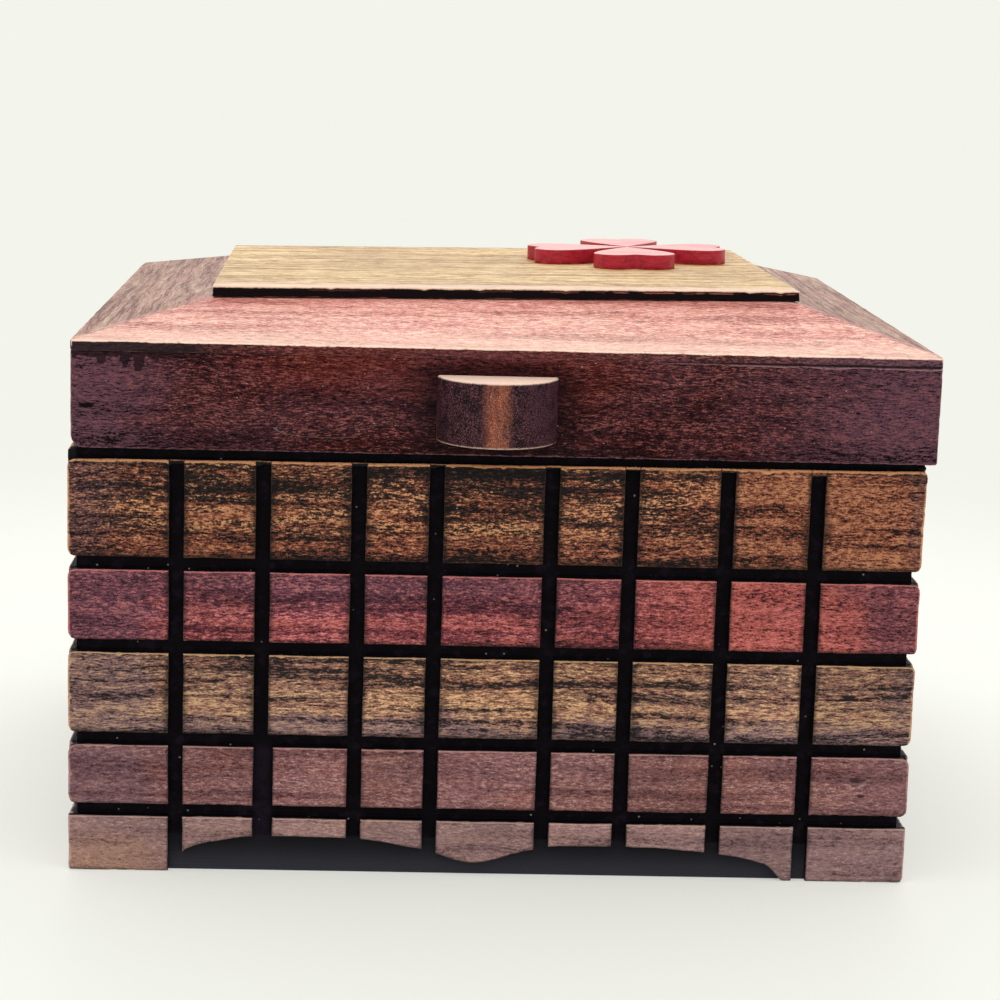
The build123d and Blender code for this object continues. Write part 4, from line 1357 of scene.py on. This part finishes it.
class WOODENBOX_OT_stage(bpy.types.Operator):
    """Set the pale floor, the soft light and the camera"""
    bl_idname = "wooden_box.stage"
    bl_label = "Stage"

    def floor(self, stage):
        """A large flat floor, pale near the box and paler far off, where the camera sees it as a
        plain backdrop."""
        mesh = bpy.data.meshes.new("floor")
        count, reach = 96, np.array((0.6, 2.0, 6.0, 20.0))
        ring = np.linspace(0, 2 * math.pi, count, endpoint=False)
        around = np.stack([np.cos(ring), np.sin(ring), np.zeros(count)], -1)
        points = np.concatenate([(reach[:, None, None] * around).reshape(-1, 3), [(0, 0, 0)]])
        index = np.arange(len(reach) * count).reshape(-1, count)
        onward = np.roll(index, -1, 1)
        quads = np.stack([index[:-1], index[1:], onward[1:], onward[:-1]], -1).reshape(-1, 4)
        middle = np.stack([index[0], onward[0], np.full(count, len(points) - 1)], -1)
        mesh.from_pydata(points.tolist(), [], quads.tolist() + middle.tolist())
        floor = bpy.data.objects.new("floor", mesh)
        bpy.context.scene.collection.objects.link(floor)
        floor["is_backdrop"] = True
        material, net, shader, place = start_material("floor_paper")
        away = net.distance(place - (0, -0.06, 0))
        body = net.mix(net.span(away, 0.17, 0.27), stage.floor, stage.backdrop)
        relief = net.noise(place * 900, detail=3)
        feed(net, shader, body, 0.75, relief, bump=0.05, reach=0.05, gloss=0.2)
        camera = net.put("LightPath")
        seen = net.calc("MAXIMUM", camera, camera.beside("Is Glossy Ray"))
        share = seen * net.span(away, 0.15, 0.6, 0.4, 1)
        both = net.put("MixShader", share, Wire(net, shader.outputs[0]),
                       net.put("Emission", stage.backdrop, 1.0))
        output = next(n for n in net.tree.nodes if n.type == "OUTPUT_MATERIAL")
        net.give(output.inputs["Surface"], both)
        mesh.materials.append(material)

    def world(self, stage):
        """Even light from all round, dimmer from the camera's side, with a pale backdrop."""
        world = bpy.data.worlds.new("studio")
        bpy.context.scene.world = world
        world.use_nodes = True
        net = Net(world.node_tree)
        background = next(n for n in net.tree.nodes if n.type == "BACKGROUND")
        toward = net.axes(net.put("TexCoord", output=0))["Y"]
        light = net.span(toward, -0.7, 0.5, stage.dim, 1) * stage.sky
        camera = net.put("LightPath")
        seen = net.calc("MAXIMUM", camera, camera.beside("Is Transmission Ray"))
        net.give(background.inputs["Color"], net.mix(seen, (0.97, 0.985, 1.0), stage.backdrop))
        net.give(background.inputs["Strength"], seen + (1 - seen) * light)

    def lamp(self, name, place, aim, size, watts):
        """A square softbox that faces the point it is aimed at."""
        light = bpy.data.lights.new(name, "AREA")
        light.shape, light.size, light.energy = "SQUARE", size, watts
        lamp = bpy.data.objects.new(name, light)
        lamp.location = place
        lamp.rotation_euler = (Vector(aim) - Vector(place)).to_track_quat("-Z", "Y").to_euler()
        bpy.context.scene.collection.objects.link(lamp)

    def execute(self, context):
        stage = settings().stage
        self.floor(stage)
        self.world(stage)
        self.lamp("softbox_back", (0.05, 0.75, 0.75), (0, 0, 0.1), 0.7, stage.softbox)
        self.lamp("softbox_top", (-0.1, -0.25, 1.0), (0, 0, 0.1), 0.6, stage.softbox * 0.6)
        camera = bpy.data.cameras.new("camera")
        camera.lens, camera.sensor_width, camera.shift_x = stage.lens, 36.0, stage.shift
        view = bpy.data.objects.new("camera", camera)
        view.location, view.rotation_euler = stage.camera_place, stage.camera_turn
        bpy.context.scene.collection.objects.link(view)
        bpy.context.scene.camera = view
        bpy.context.scene.view_settings.view_transform = "Standard"
        return {"FINISHED"}


# Add-on

OPERATORS = (
    WOODENBOX_OT_carcass, WOODENBOX_OT_blocks, WOODENBOX_OT_lid_frame, WOODENBOX_OT_top_board,
    WOODENBOX_OT_plaque, WOODENBOX_OT_hearts, WOODENBOX_OT_grip, WOODENBOX_OT_hinges,
    WOODENBOX_OT_stage,
)


class WOODENBOX_PT_sidebar(bpy.types.Panel):
    """The box's steps and settings"""
    bl_idname = "WOODENBOX_PT_sidebar"
    bl_label = "Wooden Box"
    bl_space_type = "VIEW_3D"
    bl_region_type = "UI"
    bl_category = "Wooden Box"

    def draw(self, context):
        for operator in OPERATORS:
            self.layout.operator(operator.bl_idname)
        for part in WoodenBoxSettings.__annotations__:
            box = self.layout.box()
            box.label(text=part.replace("_", " ").capitalize())
            group = getattr(context.scene.wooden_box, part)
            for name in type(group).__annotations__:
                box.prop(group, name)


CLASSES = (BoxShape, LidShape, BoxPaints, StageSettings, *STAINS.values(), WoodenBoxSettings,
           *OPERATORS, WOODENBOX_PT_sidebar)


def register():
    for kind in CLASSES:
        bpy.utils.register_class(kind)
    bpy.types.Scene.wooden_box = PointerProperty(type=WoodenBoxSettings)


def unregister():
    del bpy.types.Scene.wooden_box
    for kind in reversed(CLASSES):
        bpy.utils.unregister_class(kind)


def main():
    register()
    bpy.ops.wooden_box.carcass()
    bpy.ops.wooden_box.blocks()
    bpy.ops.wooden_box.lid_frame()
    bpy.ops.wooden_box.top_board()
    bpy.ops.wooden_box.plaque()
    bpy.ops.wooden_box.hearts()
    bpy.ops.wooden_box.grip()
    bpy.ops.wooden_box.hinges()
    bpy.ops.wooden_box.stage()
    sizes = {"cad": [list(corner) for corner in CAD_BOUNDS],
             "visual": [list(corner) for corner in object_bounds()]}


if __name__ == "__main__":
    main()
